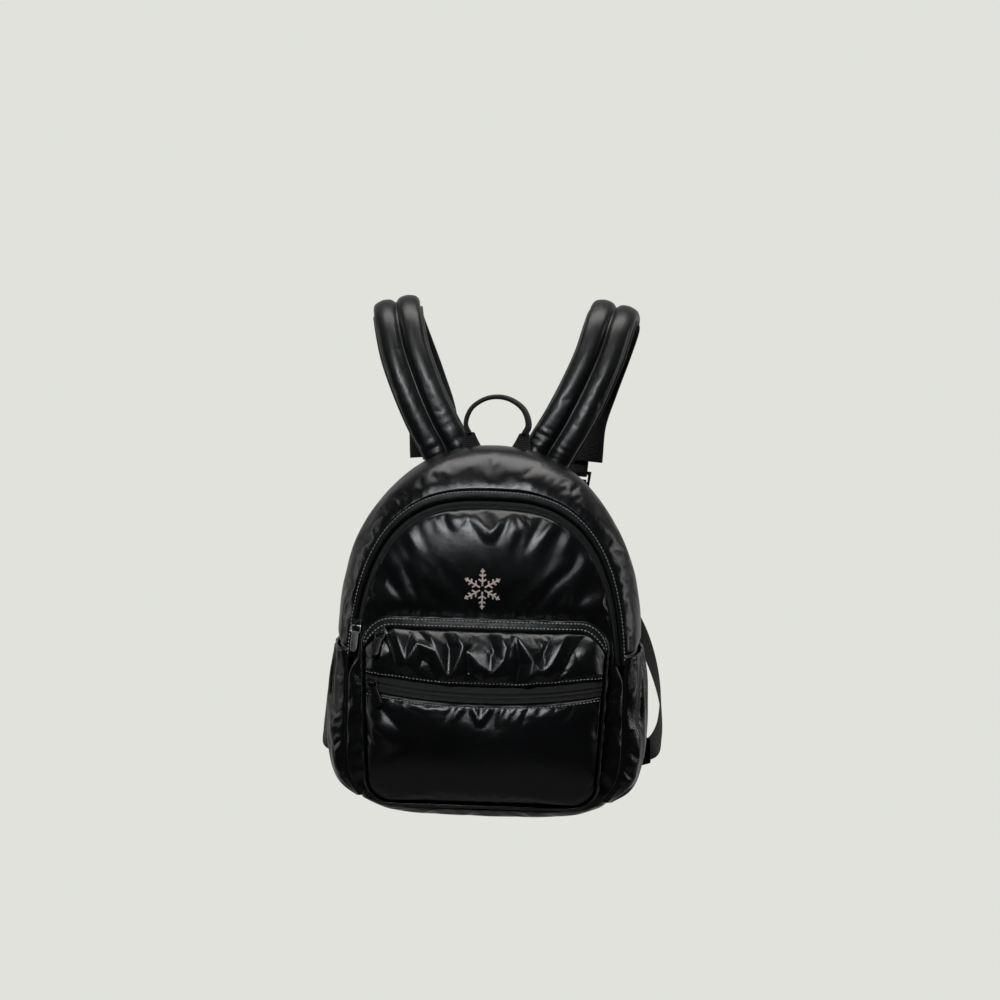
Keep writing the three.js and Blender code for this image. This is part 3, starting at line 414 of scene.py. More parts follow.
# put() adds a node by its type, settings and socket values. n_1 stands for the socket numbered 1.
class Nodes:
    def __init__(self, tree):
        self.tree = tree

    def put(self, kind, settings=None, **values):
        node = self.tree.nodes.new("ShaderNode" + kind)
        for key, value in (settings or {}).items():
            setattr(node, key, value)
        for socket, value in values.items():
            place = node.inputs[socket if socket in node.inputs else int(socket.strip("n_"))]
            if isinstance(value, Shade):
                self.tree.links.new(value.socket, place)
            else:
                place.default_value = value
        return node

    def out(self, node, socket=0):
        return Shade(self.tree, node.outputs[socket])

    def finish(self, node):
        output = "World Output" if "World Output" in self.tree.nodes else "Material Output"
        self.tree.links.new(node.outputs[0], self.tree.nodes[output].inputs["Surface"])


class Finish(Nodes):
    def __init__(self, name, color, roughness, **fixed):
        self.material = bpy.data.materials.new(name)
        self.material.use_nodes = True
        super().__init__(self.material.node_tree)
        self.shader = self.tree.nodes["Principled BSDF"]
        self.shader.inputs["Base Color"].default_value = (*color, 1)
        self.shader.inputs["Roughness"].default_value = roughness
        for socket, value in fixed.items():
            self.shader.inputs[socket].default_value = value

    def objectPlace(self, scale=(1, 1, 1)):
        place = self.put("TexCoord")
        return self.out(self.put("Mapping", Vector=self.out(place, "Object"), Scale=scale))

    def clothPlace(self, scale=(1, 1, 1)):
        place = self.put("UVMap", {"uv_map": "cloth"})
        return self.out(self.put("Mapping", Vector=self.out(place), Scale=scale))

    def noise(self, place, scale, detail=3, rough=0.5):
        return self.out(self.put("TexNoise", Vector=place, Scale=scale, Detail=detail, Roughness=rough))

    def split(self, place):
        parts = self.put("SeparateXYZ", Vector=place)
        return self.out(parts, 0), self.out(parts, 1)

    def set(self, socket, value):
        self.tree.links.new(value.socket, self.shader.inputs[socket])

    def tint(self, amount, low, high):
        blend = self.put("Mix", {"data_type": "RGBA"}, Factor=amount)
        blend.inputs[6].default_value, blend.inputs[7].default_value = (*low, 1), (*high, 1)
        self.set("Base Color", self.out(blend, 2))

    def bump(self, height, distance, strength=1.0):
        bump = self.put("Bump", Height=height, Distance=distance, Strength=strength)
        self.set("Normal", self.out(bump))


nylonLook = {"dark": (0.0026, 0.0027, 0.003), "light": (0.0065, 0.0068, 0.0075), "roughness": 0.23,
             "weave": 1 / 0.00042, "creaseScale": 48, "creaseHeight": 0.00008, "weaveHeight": 0.000012,
             "swellHeight": 0.0004}


def nylon(name, creases=1.0, shine=0.0, gloss=0.34):
    finish = Finish(name, nylonLook["dark"], nylonLook["roughness"],
                    **{"Specular IOR Level": gloss, "Coat Weight": gloss / 6, "Coat Roughness": 0.12})
    place = finish.objectPlace()
    large = finish.noise(place, 18, 4, 0.55)
    fine = finish.noise(finish.objectPlace((1, 1, 1.5)), nylonLook["creaseScale"], 5, 0.62)
    folds = 1 - (fine * 2 - 1).size()
    u, v = finish.split(finish.clothPlace())
    weave = (u * (nylonLook["weave"] * math.tau)).sine() * (v * (nylonLook["weave"] * math.tau)).sine()
    finish.tint(large, nylonLook["dark"], nylonLook["light"])
    finish.set("Roughness", nylonLook["roughness"] - shine + (large - 0.5) * 0.16 + (fine - 0.5) * 0.1)
    height = folds * folds * (nylonLook["creaseHeight"] * creases) + large * (nylonLook["swellHeight"] * creases)
    finish.bump(height + weave * nylonLook["weaveHeight"], 1.0, 0.8)
    return finish.material


# Webbing and tape: ribs across the band with a fine twist on each
def ribbed(name, color, pitch, depth, roughness=0.8, sheen=0.3, across=0):
    finish = Finish(name, color, roughness, **{"Sheen Weight": sheen, "Sheen Roughness": 0.4})
    u, v = finish.split(finish.clothPlace())
    along, aside = (v, u) if across == 0 else (u, v)
    rib = (along * (math.tau / pitch)).sine()
    twist = ((aside * (math.tau / (pitch * 0.8))) + (along * (math.tau / pitch))).sine()
    grain = finish.noise(finish.objectPlace(), 900, 2)
    # Painted light and shade: the colour is lighter on the raised ribs and darker in the grooves between them.
    finish.tint(rib * 0.5 + 0.5, tuple(c * 0.6 for c in color), tuple(c * 1.5 for c in color))
    finish.set("Roughness", roughness + (grain - 0.5) * 0.15)
    finish.bump(rib * depth + twist * (depth * 0.4) + grain * (depth * 0.5), 1.0, 0.9)
    return finish.material


# The knitted spacer mesh of the back and of the straps' undersides, with rows of small pits
def spacerMesh(name):
    finish = Finish(name, (0.009, 0.009, 0.01), 0.85, **{"Sheen Weight": 0.25, "Sheen Roughness": 0.5})
    u, v = finish.split(finish.clothPlace())
    first = (u * (math.tau / 0.0034)).sine() * (v * (math.tau / 0.0034)).sine()
    pits = (first * 1.6).most(0).least(1)
    grain = finish.noise(finish.objectPlace(), 1200, 2)
    # Painted shade: the sunken pits are coloured darker than the knit around them.
    finish.tint(pits, (0.011, 0.011, 0.012), (0.003, 0.003, 0.0035))
    finish.set("Roughness", 0.78 + grain * 0.15)
    finish.bump(pits * -0.0006 + grain * 0.00015, 1.0, 0.9)
    return finish.material


def metal(name, color, roughness):
    finish = Finish(name, color, roughness, Metallic=1.0)
    wear = finish.noise(finish.objectPlace(), 260, 4)
    finish.tint(wear, tuple(c * 0.75 for c in color), tuple(c * 1.3 for c in color))
    finish.set("Roughness", roughness - 0.08 + wear * 0.2)
    finish.bump(wear * 0.00006, 1.0, 0.6)
    return finish.material


def plastic(name):
    finish = Finish(name, (0.008, 0.008, 0.0085), 0.4)
    grain = finish.noise(finish.objectPlace(), 1400, 2)
    finish.set("Roughness", 0.34 + grain * 0.18)
    finish.bump(grain * 0.00008, 1.0, 0.7)
    return finish.material


def threadLook(name, color, roughness=0.45):
    finish = Finish(name, color, roughness, **{"Sheen Weight": 0.4, "Sheen Roughness": 0.3})
    twist = finish.out(finish.put("TexWave", {"bands_direction": "DIAGONAL"}, Vector=finish.objectPlace(),
                                  Scale=900, Distortion=1.0))
    # Painted shade: the thread is coloured darker in the grooves of its twist and lighter on the strands.
    finish.tint(twist, tuple(c * 0.65 for c in color), color)
    finish.bump(twist * 0.00008, 1.0, 0.8)
    return finish.material


looks = {
    "nylon": nylon("puffer nylon"),
    "nylonTight": nylon("puffer nylon, stretched", creases=0.5, shine=0.02),
    "nylonMatt": nylon("puffer nylon, matt", creases=0.4, shine=-0.1),
    "nylonFold": nylon("puffer nylon, folded double", creases=0.4, shine=-0.16, gloss=0.14),
    "tape": ribbed("zip tape", (0.0045, 0.0045, 0.0048), 0.0011, 0.00011, 0.6, 0.04),
    "webbing": ribbed("woven webbing", (0.005, 0.0049, 0.0049), 0.0017, 0.00022, 0.75, 0.08),
    "mesh": spacerMesh("spacer mesh"),
    "metal": metal("dark plated metal", (0.05, 0.05, 0.053), 0.3),
    "brightMetal": metal("worn plated metal", (0.85, 0.85, 0.82), 0.3),
    "coil": plastic("coil"),
    "plastic": plastic("moulded buckle"),
    # The seam stitches are black thread: their pale grey colour is a painted highlight, for the light their rows
    # catch.
    "thread": threadLook("black sewing thread, painted highlight", (0.4, 0.42, 0.42)),
    # The strap channels' stitches are black thread: their grey colour is a painted highlight along the channel.
    "channelHighlightThread": threadLook("black channel thread, painted highlight", (0.13, 0.13, 0.135)),
    "pinkThread": threadLook("embroidery thread", (0.98, 0.80, 0.75), 0.5),
}
print("finishes made")


# Top gusset, side panels and base. A fold runs between two angles and two shares of the depth, and has a width
# and a height.
gusset = {
    "columns": 236, "rows": 30, "grow": 0.018, "cap": (-1.5, 4.5),
    "folds": [
        (96, 152, 0.3, 0.86, 0.13, 2.6),
        (30, 78, 0.9, 0.5, 0.13, 2.2),
        (28, 62, 0.5, 0.74, 0.12, 2.0),
        (118, 150, 0.62, 0.5, 0.12, 1.8),
    ],
}


def bodySurface(fromAngle, toAngle):
    trim = 0.3 / bag["width"]

    def surface(u, v):
        depth = mix(bag["seamGap"] / bag["depth"], frontSeam["depth"] - 0.2 / bag["depth"], v)
        angle = mix(fromAngle(depth) + trim, toAngle(depth) - trim, u)
        return bodyPoint(angle, depth)

    return surface


def gussetRelief(u, v):
    seam = sideSeamAngle(np.full_like(u, frontSeam["depth"] / 2))
    angle = np.degrees(mix(seam, math.pi - seam, u))
    folds = np.zeros_like(u)
    for start, end, startAcross, endAcross, wide, deep in gusset["folds"]:
        along = np.clip((angle - start) / (end - start), 0, 1)
        folds += deep * np.sin(math.pi * along) * ridge(v - mix(startAcross, endAcross, along), wide)
    return pillow(u, v) * (bag["puff"] + folds + 0.5 * rumple(u * 9, v, 1.1, 3))


base = math.radians(bag["baseAngle"])
sideGrid, sidePuff = (44, 26), lambda u, v: 0.4 * pillow(u, v)
topGusset = clothPiece("top_gusset_cloth", bodySurface(sideSeamAngle, lambda d: math.pi - sideSeamAngle(d)),
                       gusset["columns"], gusset["rows"], gussetRelief, grow=gusset["grow"], cap=gusset["cap"],
                       middle=(0, -45, 99))
sideRight = clothPiece("side_panel_cloth_right", bodySurface(lambda d: -base + 0 * d, sideSeamAngle), *sideGrid,
                       sidePuff)
sideLeft = clothPiece("side_panel_cloth_left", bodySurface(lambda d: math.pi - sideSeamAngle(d),
                                                           lambda d: math.pi + base + 0 * d), *sideGrid, sidePuff)
basePanel = clothPiece("base_cloth", bodySurface(lambda d: base - math.pi + 0 * d, lambda d: -base + 0 * d), 84, 30,
                       lambda u, v: 0.6 * pillow(u, v) + 0.3 * rumple(u * 4, v, 1, 5) * pillow(u, v),
                       grow=0.015, cap=(-1, 1.6), pressure=0.5)

# Front panel, gathered along the arch above the pocket. crests are rows of (x, z, height), and a gather has its
# angle, lean, length, width and height.
front = {
    "columns": 124, "rows": 98, "grow": 0.012, "cap": (-1.5, 5), "flap": 8.5, "slot": 6.5,
    "marginPuff": 2.2, "marginCrease": 1.6, "sideShare": 0.25, "flareAngle": 9, "gatherLength": 34,
    "puffFrom": 164, "puffTo": 190, "pinsFrom": 162, "pinsTo": 178, "gatherReach": 22, "besideFade": 3,
    "crests": [
        [(-59, 255, 1.2), (-51, 266, 3.2), (-43, 255, 1.0)], [(-38, 269, 3), (-31, 259, 2.2), (-22, 268, 3)],
        [(-13, 267, 3.4), (1, 250, 3), (14, 265, 3.4)], [(22, 269, 3.6), (17, 234, 0.4)],
        [(22, 269, 3.4), (35, 254, 1.2)], [(59, 267, 3.4), (43, 242, 0.6)], [(-72, 249, 2.6), (-62, 234, 0.4)],
        [(73, 252, 2.6), (66, 234, 0.4)], [(66, 226, 0.4), (40, 198, 1.6), (24, 188, 0.4)],
        [(-88, 226, 1.6), (-76, 206, 0.3)], [(88, 232, 1.8), (78, 208, 0.3)],
    ],
    "crestWidth": 9,
    "gathers": [
        (128, 3, 0.76, 8, 2.6), (114, 2, 0.65, 7, 2.6), (100, 1, 0.71, 7, 3.0), (88, 0, 0.76, 6, 3.0),
        (80, 2, 1.0, 6, 3.4), (70, 3, 1.35, 7, 3.6), (56, -2, 1.0, 8, 3.0), (44, -2, 0.76, 8, 2.4),
    ],
}


def zipBandShare(angle):
    up = np.abs(np.sin(angle))
    seam = math.sin(float(sideSeamAngle(np.array(frontSeam["depth"]))))
    flare = ramp(up, math.sin(math.radians(front["flareAngle"])), seam)
    return np.where(np.sin(angle) <= 0, 0, flare * mix(front["sideShare"], 1, up))


def discPoint(u, v):
    share = 1 / 3
    split = np.where(v < share, v / share * 0.5, 0.5 + (v - share) / (1 - share) * 0.5)
    a, b = 2 * u - 1, 2 * split - 1
    x, z = a * np.sqrt(1 - b * b / 2), b * np.sqrt(1 - a * a / 2)
    return np.arctan2(z, x), np.hypot(x, z)


def frontSurface(u, v):
    angle, reach = discPoint(u, v)
    radius = outlineRadius(frontSeam, angle)
    edge = radius - 2 * bag["seamGap"] - (front["flap"] + front["slot"]) * zipBandShare(angle)
    return frontPoint(angle, radius - reach * edge)


# 1 on the parts of the front panel that show beside and below the pocket
def besidePocket(spot):
    x, z = spot[..., 0], spot[..., 2]
    fade, foot = front["besideFade"], pocket["foot"]
    return np.maximum(ramp(np.abs(x), pocketHalf(z) - fade, pocketHalf(z) + fade), 1 - ramp(z, foot - 1, foot + 5))


def frontPins(u, v):
    spot = frontSurface(u, v)
    return (1 - ramp(spot[..., 2], front["pinsFrom"], front["pinsTo"])) * (1 - besidePocket(spot))


def frontGathers(u, v):
    angle, reach = discPoint(u, v)
    return ridge(outlineRadius(frontSeam, angle) * (1 - reach) / front["gatherReach"], 1) * (np.sin(angle) > 0.3)


def frontRelief(u, v):
    angle, reach = discPoint(u, v)
    radius = outlineRadius(frontSeam, angle) - front["flap"] - front["slot"]
    fromEdge = radius * (1 - reach)
    folds = np.zeros_like(u)
    for at, lean, length, wide, deep in front["gathers"]:
        down = fromEdge / (front["gatherLength"] * length)
        centre = np.radians(at + lean * down)
        folds += deep * ridge((angle - centre) * radius, wide * (0.75 + 0.5 * down)) * ridge(down, 1)
    edge = np.sqrt(np.maximum(1 - reach**8, 0))
    spot = frontSurface(u, v)
    fill = ramp(spot[..., 2], front["puffFrom"], front["puffTo"])
    margin = besidePocket(spot) * (1 - fill)
    creases = front["marginCrease"] * rumple(spot[..., 0] / 40, spot[..., 2] / 26, 1, 15)
    folds = folds * 0.35 + creased(spot[..., 0], spot[..., 2], front["crests"], front["crestWidth"])
    return edge * (fill * (bag["puff"] + folds) + margin * (front["marginPuff"] + creases))


# Front pocket: the face's upper and lower panels, and the ring of cloth that carries them. The upper panel's
# crests have a height and places as shares of the panel.
pocket = {
    "width": 219, "top": 176, "foot": 9, "depth": 30, "topRadius": 27, "footRadius": 24, "taper": 6, "flap": 8,
    "slot": 4.5, "tuck": 1.6, "edgeShare": 0.62, "rimRise": 0.6, "bulge": 0.8, "zipHeight": 110, "zipSag": 8.5,
    "zipWidth": 14,
    "upper": {"columns": 136, "rows": 36, "grow": 0.014, "cap": (-2, 5.5)},
    "lower": {"columns": 110, "rows": 50, "grow": 0.008, "cap": (-1.2, 4)},
    "crests": [
        (3.4, [(-0.9, 0.95), (-0.84, 0.5), (-0.88, 0.1)]),
        (3.6, [(-0.722, 0.98), (-0.61, 0.34), (-0.528, 0.71), (-0.375, 0.59), (-0.262, 0.1)]),
        (3.4, [(-0.45, 1.0), (-0.375, 0.59)]),
        (3.8, [(-0.232, 0.98), (-0.16, 0.69), (-0.19, 0.47), (-0.262, 0.1)]),
        (2.6, [(-0.16, 0.69), (-0.02, 0.4), (0.079, 0.25)]),
        (3.8, [(0.127, 0.98), (0.187, 0.67), (0.167, 0.47), (0.079, 0.2)]),
        (3.0, [(0.079, 0.25), (0.218, 0.52), (0.259, 0.94)]),
        (3.6, [(0.259, 0.92), (0.402, 0.45), (0.371, 0.08)]),
        (3.6, [(0.402, 0.45), (0.484, 0.22), (0.546, 0.37), (0.657, 0.96)]),
        (3.0, [(0.9, 0.95), (0.83, 0.6), (0.9, 0.1)]),
    ],
    "crestWidth": 11,
    "streak": [[(-104, 95, 3.5), (-90, 80, 7.5), (-72, 60, 0.6)]], "streakWidth": 13,
    "footGathers": [
        [(-66, 103, 1.2), (-48, 98, 1.8), (-30, 99, 1.4)], [(-17, 102, 2.4), (-24, 91, 0.8)],
        [(-8, 102, 2.6), (-1, 88, 2.2), (8, 102, 2.6)], [(20, 103, 2.8), (15, 88, 0.8)],
        [(30, 103, 2.6), (21, 90, 1.0)], [(38, 103, 2.4), (30, 89, 0.8)], [(48, 103, 2.0), (41, 94, 0.6)],
        [(60, 105, 1.6), (56, 97, 0.4)], [(-80, 108, 1.2), (-84, 99, 0.3)],
    ],
    "gatherWidth": 5.5,
}
pocketOut = smoothTable(("height", "out"), [(0, 0.3), (0.1, 0.66), (0.25, 0.93), (0.45, 1), (0.65, 0.98),
                                            (0.85, 0.8), (1, 0.5)])
pocketRim = bag["cloth"] + bag["seamGap"]


def pocketHalf(z):
    low, high = pocket["foot"] + pocket["footRadius"], pocket["top"] - pocket["topRadius"]
    return pocket["width"] / 2 - pocket["taper"] * (1 - np.clip((z - low) / (high - low), 0, 1))


def cornerFall(across, half, radius):
    past = np.clip(np.abs(across) - (half - radius), 0, radius)
    return radius - np.sqrt(radius**2 - past**2)


def pocketY(x, z):
    height = (z - pocket["foot"]) / (pocket["top"] - pocket["foot"])
    across = np.minimum(np.abs(x) / pocketHalf(z), 1)
    return frontY(x, z) - pocket["depth"] * pocketOut(height)["out"] * mix(1, pocket["edgeShare"], across**3)


def pocketArch(u, inset):
    corner, centre = 0.2, pocket["width"] / 2 - pocket["topRadius"]
    turn = np.clip(u / corner, 0, 1) + np.clip((u - 1 + corner) / corner, 0, 1)
    angle = math.pi * (1 - turn / 2)
    along = np.clip((u - corner) / (1 - 2 * corner), 0, 1)
    radius = pocket["topRadius"] - inset
    x = mix(-centre, centre, along) + radius * np.cos(angle)
    z = pocket["top"] - pocket["topRadius"] + radius * np.sin(angle)
    return np.stack((x, pocketY(x, z), z), -1)


def pocketFace(lower, upper):
    def surface(u, v):
        t = 2 * u - 1
        share = mix(t, np.sin(t * math.pi / 2), 0.25)
        z = mix(lower(share), upper(share), v)
        x = share * (pocketHalf(z) - bag["cloth"] - 0.2)
        return np.stack((x, pocketY(x, z), z), -1)

    return surface


def bandTaper(u):
    return ramp(np.minimum(u, 1 - u), -0.03, 0.1)


def pocketTopEdge(share):
    u = np.linspace(0, 0.5, 200)
    shown = mix(pocket["slot"] + 0.4, -pocket["tuck"], ramp(u, 0.13, 0.22))
    edge = pocketArch(u, pocketRim + (pocket["flap"] + shown) * bandTaper(u) + bag["seamGap"])
    closed = pocketArch(u, pocketRim + (pocket["flap"] - pocket["tuck"]) * bandTaper(u) + bag["seamGap"])
    across = np.abs(share) * (pocket["width"] / 2 - pocketRim)
    return np.where(share < 0, np.interp(across, -edge[::-1, 0], edge[::-1, 2]),
                    np.interp(across, -closed[::-1, 0], closed[::-1, 2]))


def pocketFootEdge(share):
    half = pocket["width"] / 2 - pocket["taper"] - pocketRim
    return pocket["foot"] + pocketRim + cornerFall(share * half, half, pocket["footRadius"] - pocketRim)


def zipLine(share, offset=0.0):
    return pocket["zipHeight"] + pocket["zipSag"] * share**2 + offset


# Folds with sharp crests and flat slopes between them
def upperRelief(u, v):
    half, tall = pocket["width"] / 2, pocket["zipHeight"] * 0.42
    crests = [[(share * half, level * tall, high) for share, level in crest] for high, crest in pocket["crests"]]
    folds = creased(upperSurface(u, v)[..., 0], v * tall, crests, pocket["crestWidth"])
    return pillow(u, v, 6) * (bag["puff"] * 0.7 + folds * 1.35 + 0.25 * rumple(u * 4, v, 1, 21))


def lowerRelief(u, v):
    spot = lowerSurface(u, v)
    streak = creased(spot[..., 0], spot[..., 2], pocket["streak"], pocket["streakWidth"])
    folds = creased(spot[..., 0], spot[..., 2], pocket["footGathers"], pocket["gatherWidth"])
    return pillow(u, v, 5) * (bag["puff"] + folds + streak + 0.4 * rumple(u * 2, v * 1.4, 1, 8))


upperSurface = pocketFace(lambda s: zipLine(s, pocket["zipWidth"] / 2 + bag["seamGap"]), pocketTopEdge)
lowerSurface = pocketFace(pocketFootEdge, lambda s: zipLine(s, -pocket["zipWidth"] / 2 - bag["seamGap"]))
upperPanel = clothPiece("pocket_upper_cloth", upperSurface, pocket["upper"]["columns"], pocket["upper"]["rows"],
                        upperRelief, grow=pocket["upper"]["grow"], cap=pocket["upper"]["cap"], pressure=0.6)
lowerPanel = clothPiece("pocket_lower_cloth", lowerSurface, pocket["lower"]["columns"], pocket["lower"]["rows"],
                        lowerRelief, grow=pocket["lower"]["grow"], gathers=lambda u, v: ridge((1 - v) / 0.08, 1),
                        gatherGrow=0.07, cap=pocket["lower"]["cap"], pressure=0.45)
frontPanel = clothPiece("front_panel_cloth", frontSurface, front["columns"], front["rows"], frontRelief,
                        pins=frontPins, grow=front["grow"], gathers=frontGathers, gatherGrow=0.05,
                        cap=front["cap"], pressure=0.5)


# The pocket's outline from the middle of its foot, anticlockwise: places and inward directions
def pocketOutline(count):
    half, foot, footRadius, topRadius = (pocket["width"] / 2, pocket["foot"], pocket["footRadius"],
                                         pocket["topRadius"])
    footX, topX = half - pocket["taper"] - footRadius, half - topRadius
    quarter = np.linspace(0, math.pi / 2, 25)
    corners = ((footX, foot + footRadius, footRadius), (topX, pocket["top"] - topRadius, topRadius),
               (-topX, pocket["top"] - topRadius, topRadius), (-footX, foot + footRadius, footRadius))
    line = [[(0, foot)]]
    for turns, (x, z, radius) in enumerate(corners, -1):
        angle = turns * math.pi / 2 + quarter
        line.append(np.stack((x + radius * np.cos(angle), z + radius * np.sin(angle)), -1))
    line = np.concatenate((*line, [(0, foot)]))
    far = farAlong(line)
    at = np.linspace(0, far[-1], count)
    points = np.stack([np.interp(at, far, line[:, k]) for k in (0, 1)], -1)
    ahead = unit(np.roll(points[:-1], -1, 0) - np.roll(points[:-1], 1, 0))
    ahead = np.concatenate((ahead, ahead[:1]))
    return points, np.stack((-ahead[:, 1], ahead[:, 0]), -1)


outline, inward = pocketOutline(261)


def ringPlace(u, inset, share):
    at = u * (len(outline) - 1)
    i = np.clip(np.floor(at).astype(int), 0, len(outline) - 2)
    a = (at - i)[..., None]
    point, aside = mix(outline[i], outline[i + 1], a), mix(inward[i], inward[i + 1], a)
    spot = point + aside * inset[..., None]
    x, z = spot[..., 0], spot[..., 1]
    back = frontY(x, z) - 0.8 - bag["puff"] * ramp(z, front["puffFrom"], front["puffTo"])
    return np.stack((x, mix(back, pocketY(x, z) - pocket["rimRise"], share), z), -1)


def ringSurface(u, v):
    swell = -pocket["bulge"] * np.sin(math.pi * v) - 0.5 * np.sin(math.pi * v) * rumple(u * 30, v, 1.3, 31)
    return ringPlace(u, swell, v)


ring = clothPiece("pocket_gusset_cloth", ringSurface, 260, 10, grow=0.03, cap=(-1.5, 2.5),
                  middle=(0, -100, 90), pressure=0.6, seamDrop=0)

# Side slip pockets, with their upper hems open
slip = {"clearance": 2.6, "bulge": 0.8, "hemDrop": 5, "back": 0.06, "front": 0.875, "columns": 60, "rows": 34,
        "wrinkles": [(0.2, 0.05, 1.2), (0.42, 0.06, 1.4), (0.68, 0.05, 1.3), (0.86, 0.04, 1.0)]}


def slipSurface(side):
    def surface(u, v):
        depth = mix(slip["back"], slip["front"], v)
        hem = sideSeamAngle(depth) - slip["hemDrop"] / bag["width"]
        place = bodyPoint(mix(-base, hem, u), depth)
        return place * np.array((side, 1, 1))

    return surface


def slipRelief(seed):
    def relief(u, v):
        folds = sum(deep * ridge(v - at - 0.03 * np.sin(u * 7 + seed), wide) for at, wide, deep in slip["wrinkles"])
        tucked = ramp(u, -0.02, 0.2) * ramp(np.minimum(v, 1 - v), -0.02, 0.14)
        return 1.0 + slip["clearance"] * tucked + pillow(u, v) * (
            slip["bulge"] + folds + 0.6 * rumple(u * 3, v * 1.6, 1, seed))

    return relief


slips = {side: clothPiece(f"side_pocket_cloth_{side}", slipSurface(sign), slip["columns"], slip["rows"],
                          slipRelief(seed), grow=0.05, cap=(-1.2, 3), pressure=0.5)
         for side, sign, seed in (("right", 1, 41), ("left", -1, 57))}

# Back panel: a padded mesh face with two sewn channels
back = {"columns": 84, "rows": 92, "puff": 3.2, "channel": 42, "channelDepth": 3.0, "channelWidth": 2.2,
        "channelFoot": (30, 55), "channelHead": (235, 262)}


def backSurface(u, v):
    angle, reach = discPoint(u, v)
    radius = reach * (outlineRadius(backSeam, angle) - bag["seamGap"])
    return np.stack((radius * np.cos(angle), np.zeros_like(u), bag["belly"] + radius * np.sin(angle)), -1)


def backRelief(u, v):
    _, reach = discPoint(u, v)
    spot = backSurface(u, v)
    x, z = spot[..., 0], spot[..., 2]
    sunk = (ridge(np.abs(x) - back["channel"], back["channelWidth"]) * ramp(z, *back["channelFoot"])
            * (1 - ramp(z, *back["channelHead"])))
    return np.sqrt(np.maximum(1 - reach**6, 0)) * (back["puff"] - back["channelDepth"] * sunk)


backPanel = clothPiece("back_panel_cloth", backSurface, back["columns"], back["rows"], backRelief,
                       middle=(0, -45, 150))


# Shoulder straps
strap = {
    "width": 45, "thickness": 13, "halfWidth": 103, "loopDepth": 148, "height": 463, "around": 40, "along": 236,
    "backingWidth": 47, "backingThickness": 2.6, "gap": 0.5, "stops": 28, "keeperStop": 17, "keeperWidth": 14,
    "keeperBulge": 3.2, "cap": (-1.4, 3.2), "grow": 0.004, "pressure": 0.6, "gathers": 0.13, "gatherGrow": 0.07,
    "section": [(0, -0.5), (0.94, -0.5), (1, -0.2), (0.9, 0.24), (0.52, 0.45), (0.18, 0.38), (0, 0.12)],
    "line": [
        (0.29, 0.048, 0.6177, 0, -1, 0), (0.36, 0.048, 0.655, 0, -1, 0), (0.46, 0.052, 0.7, 0, -1, 0.04),
        (0.6, 0.075, 0.755, 0.02, -0.99, 0.12), (0.74, 0.12, 0.82, 0.04, -0.96, 0.25),
        (0.87, 0.195, 0.893, 0.08, -0.86, 0.48), (0.95, 0.31, 0.957, 0.16, -0.6, 0.78),
        (0.99, 0.48, 0.986, 0.24, -0.06, 0.97), (1.0, 0.67, 0.972, 0.2, 0.45, 0.87),
        (0.92, 0.84, 0.917, 0.1, 0.82, 0.56), (0.8, 0.94, 0.84, 0.04, 0.97, 0.24),
        (0.69, 0.99, 0.76, 0.02, 1, 0.05), (0.66, 1.0, 0.68, 0, 1, 0),
    ],
}


# A centripetal curve through points, read at t from 0 to 1
def curveThrough(points, t):
    points = np.array(points, float)
    place = np.clip(np.asarray(t) * (len(points) - 1), 0, len(points) - 1)
    i = np.minimum(np.floor(place).astype(int), len(points) - 2)
    w = (place - i)[:, None]
    extended = np.concatenate(([2 * points[0] - points[1]], points, [2 * points[-1] - points[-2]]))
    a, b, c, d = (extended[i + k] for k in range(4))
    gap = lambda p, q: np.sqrt(np.linalg.norm(q - p, axis=1, keepdims=True))
    second = np.maximum(gap(b, c), 1e-6)
    second = np.where(second < 1e-2, 1.0, second)
    first, third = (np.where(part < 1e-2, second, part) for part in (gap(a, b), gap(c, d)))
    start = ((b - a) / first - (c - a) / (first + second) + (c - b) / second) * second
    end = ((c - b) / second - (d - b) / (second + third) + (d - c) / third) * second
    return b + start * w + (-3 * b + 3 * c - 2 * start - end) * w**2 + (2 * b - 2 * c + start + end) * w**3


# Where shares of a curve's length fall on it, and which way it runs there
def evenAlong(points, shares, samples=1201, step=5e-4):
    t = np.linspace(0, 1, samples)
    far = farAlong(curveThrough(points, t))
    at = np.interp(np.asarray(shares) * far[-1], far, t)
    ahead, behind = curveThrough(points, np.clip(at + step, 0, 1)), curveThrough(points, np.clip(at - step, 0, 1))
    return at, unit(ahead - behind)


# Places and directions along a band's line, at shares of its length
def stationsAt(rows, halfWidth, shares):
    rows = np.array(rows, float)
    points = rows[:, :3] * (halfWidth, strap["loopDepth"], strap["height"])
    at, along = evenAlong(points, shares)
    look = curveThrough(rows[:, 3:], at)
    out = unit(look - np.sum(look * along, -1, keepdims=True) * along)
    return {"at": curveThrough(points, at), "along": along, "out": out, "across": np.cross(along, out)}


def strapAt(shares):
    return stationsAt(strap["line"], strap["halfWidth"], shares)


halfSection = np.array(strap["section"])
fullSection = np.concatenate((halfSection, (halfSection * (-1, 1))[-2:0:-1], halfSection[:1]))
sectionFar = farAlong(fullSection * (strap["width"] / 2, strap["thickness"]))


# The strap's section, rounded between its corners. u runs round it from the middle of the underside.
def smoothSection(u):
    at = np.mod(u, 1) * sectionFar[-1]
    spread = np.linspace(-2.2, 2.2, 7)
    found = [np.interp(np.mod(at + step, sectionFar[-1]), sectionFar, fullSection[:, k]) for step in spread
             for k in (0, 1)]
    across, height = np.mean(found[0::2], axis=0), np.mean(found[1::2], axis=0)
    channel = ridge(across * strap["width"] / 2, 1.6) * (height > -0.2)
    return across * 1.012, height - 0.16 * channel


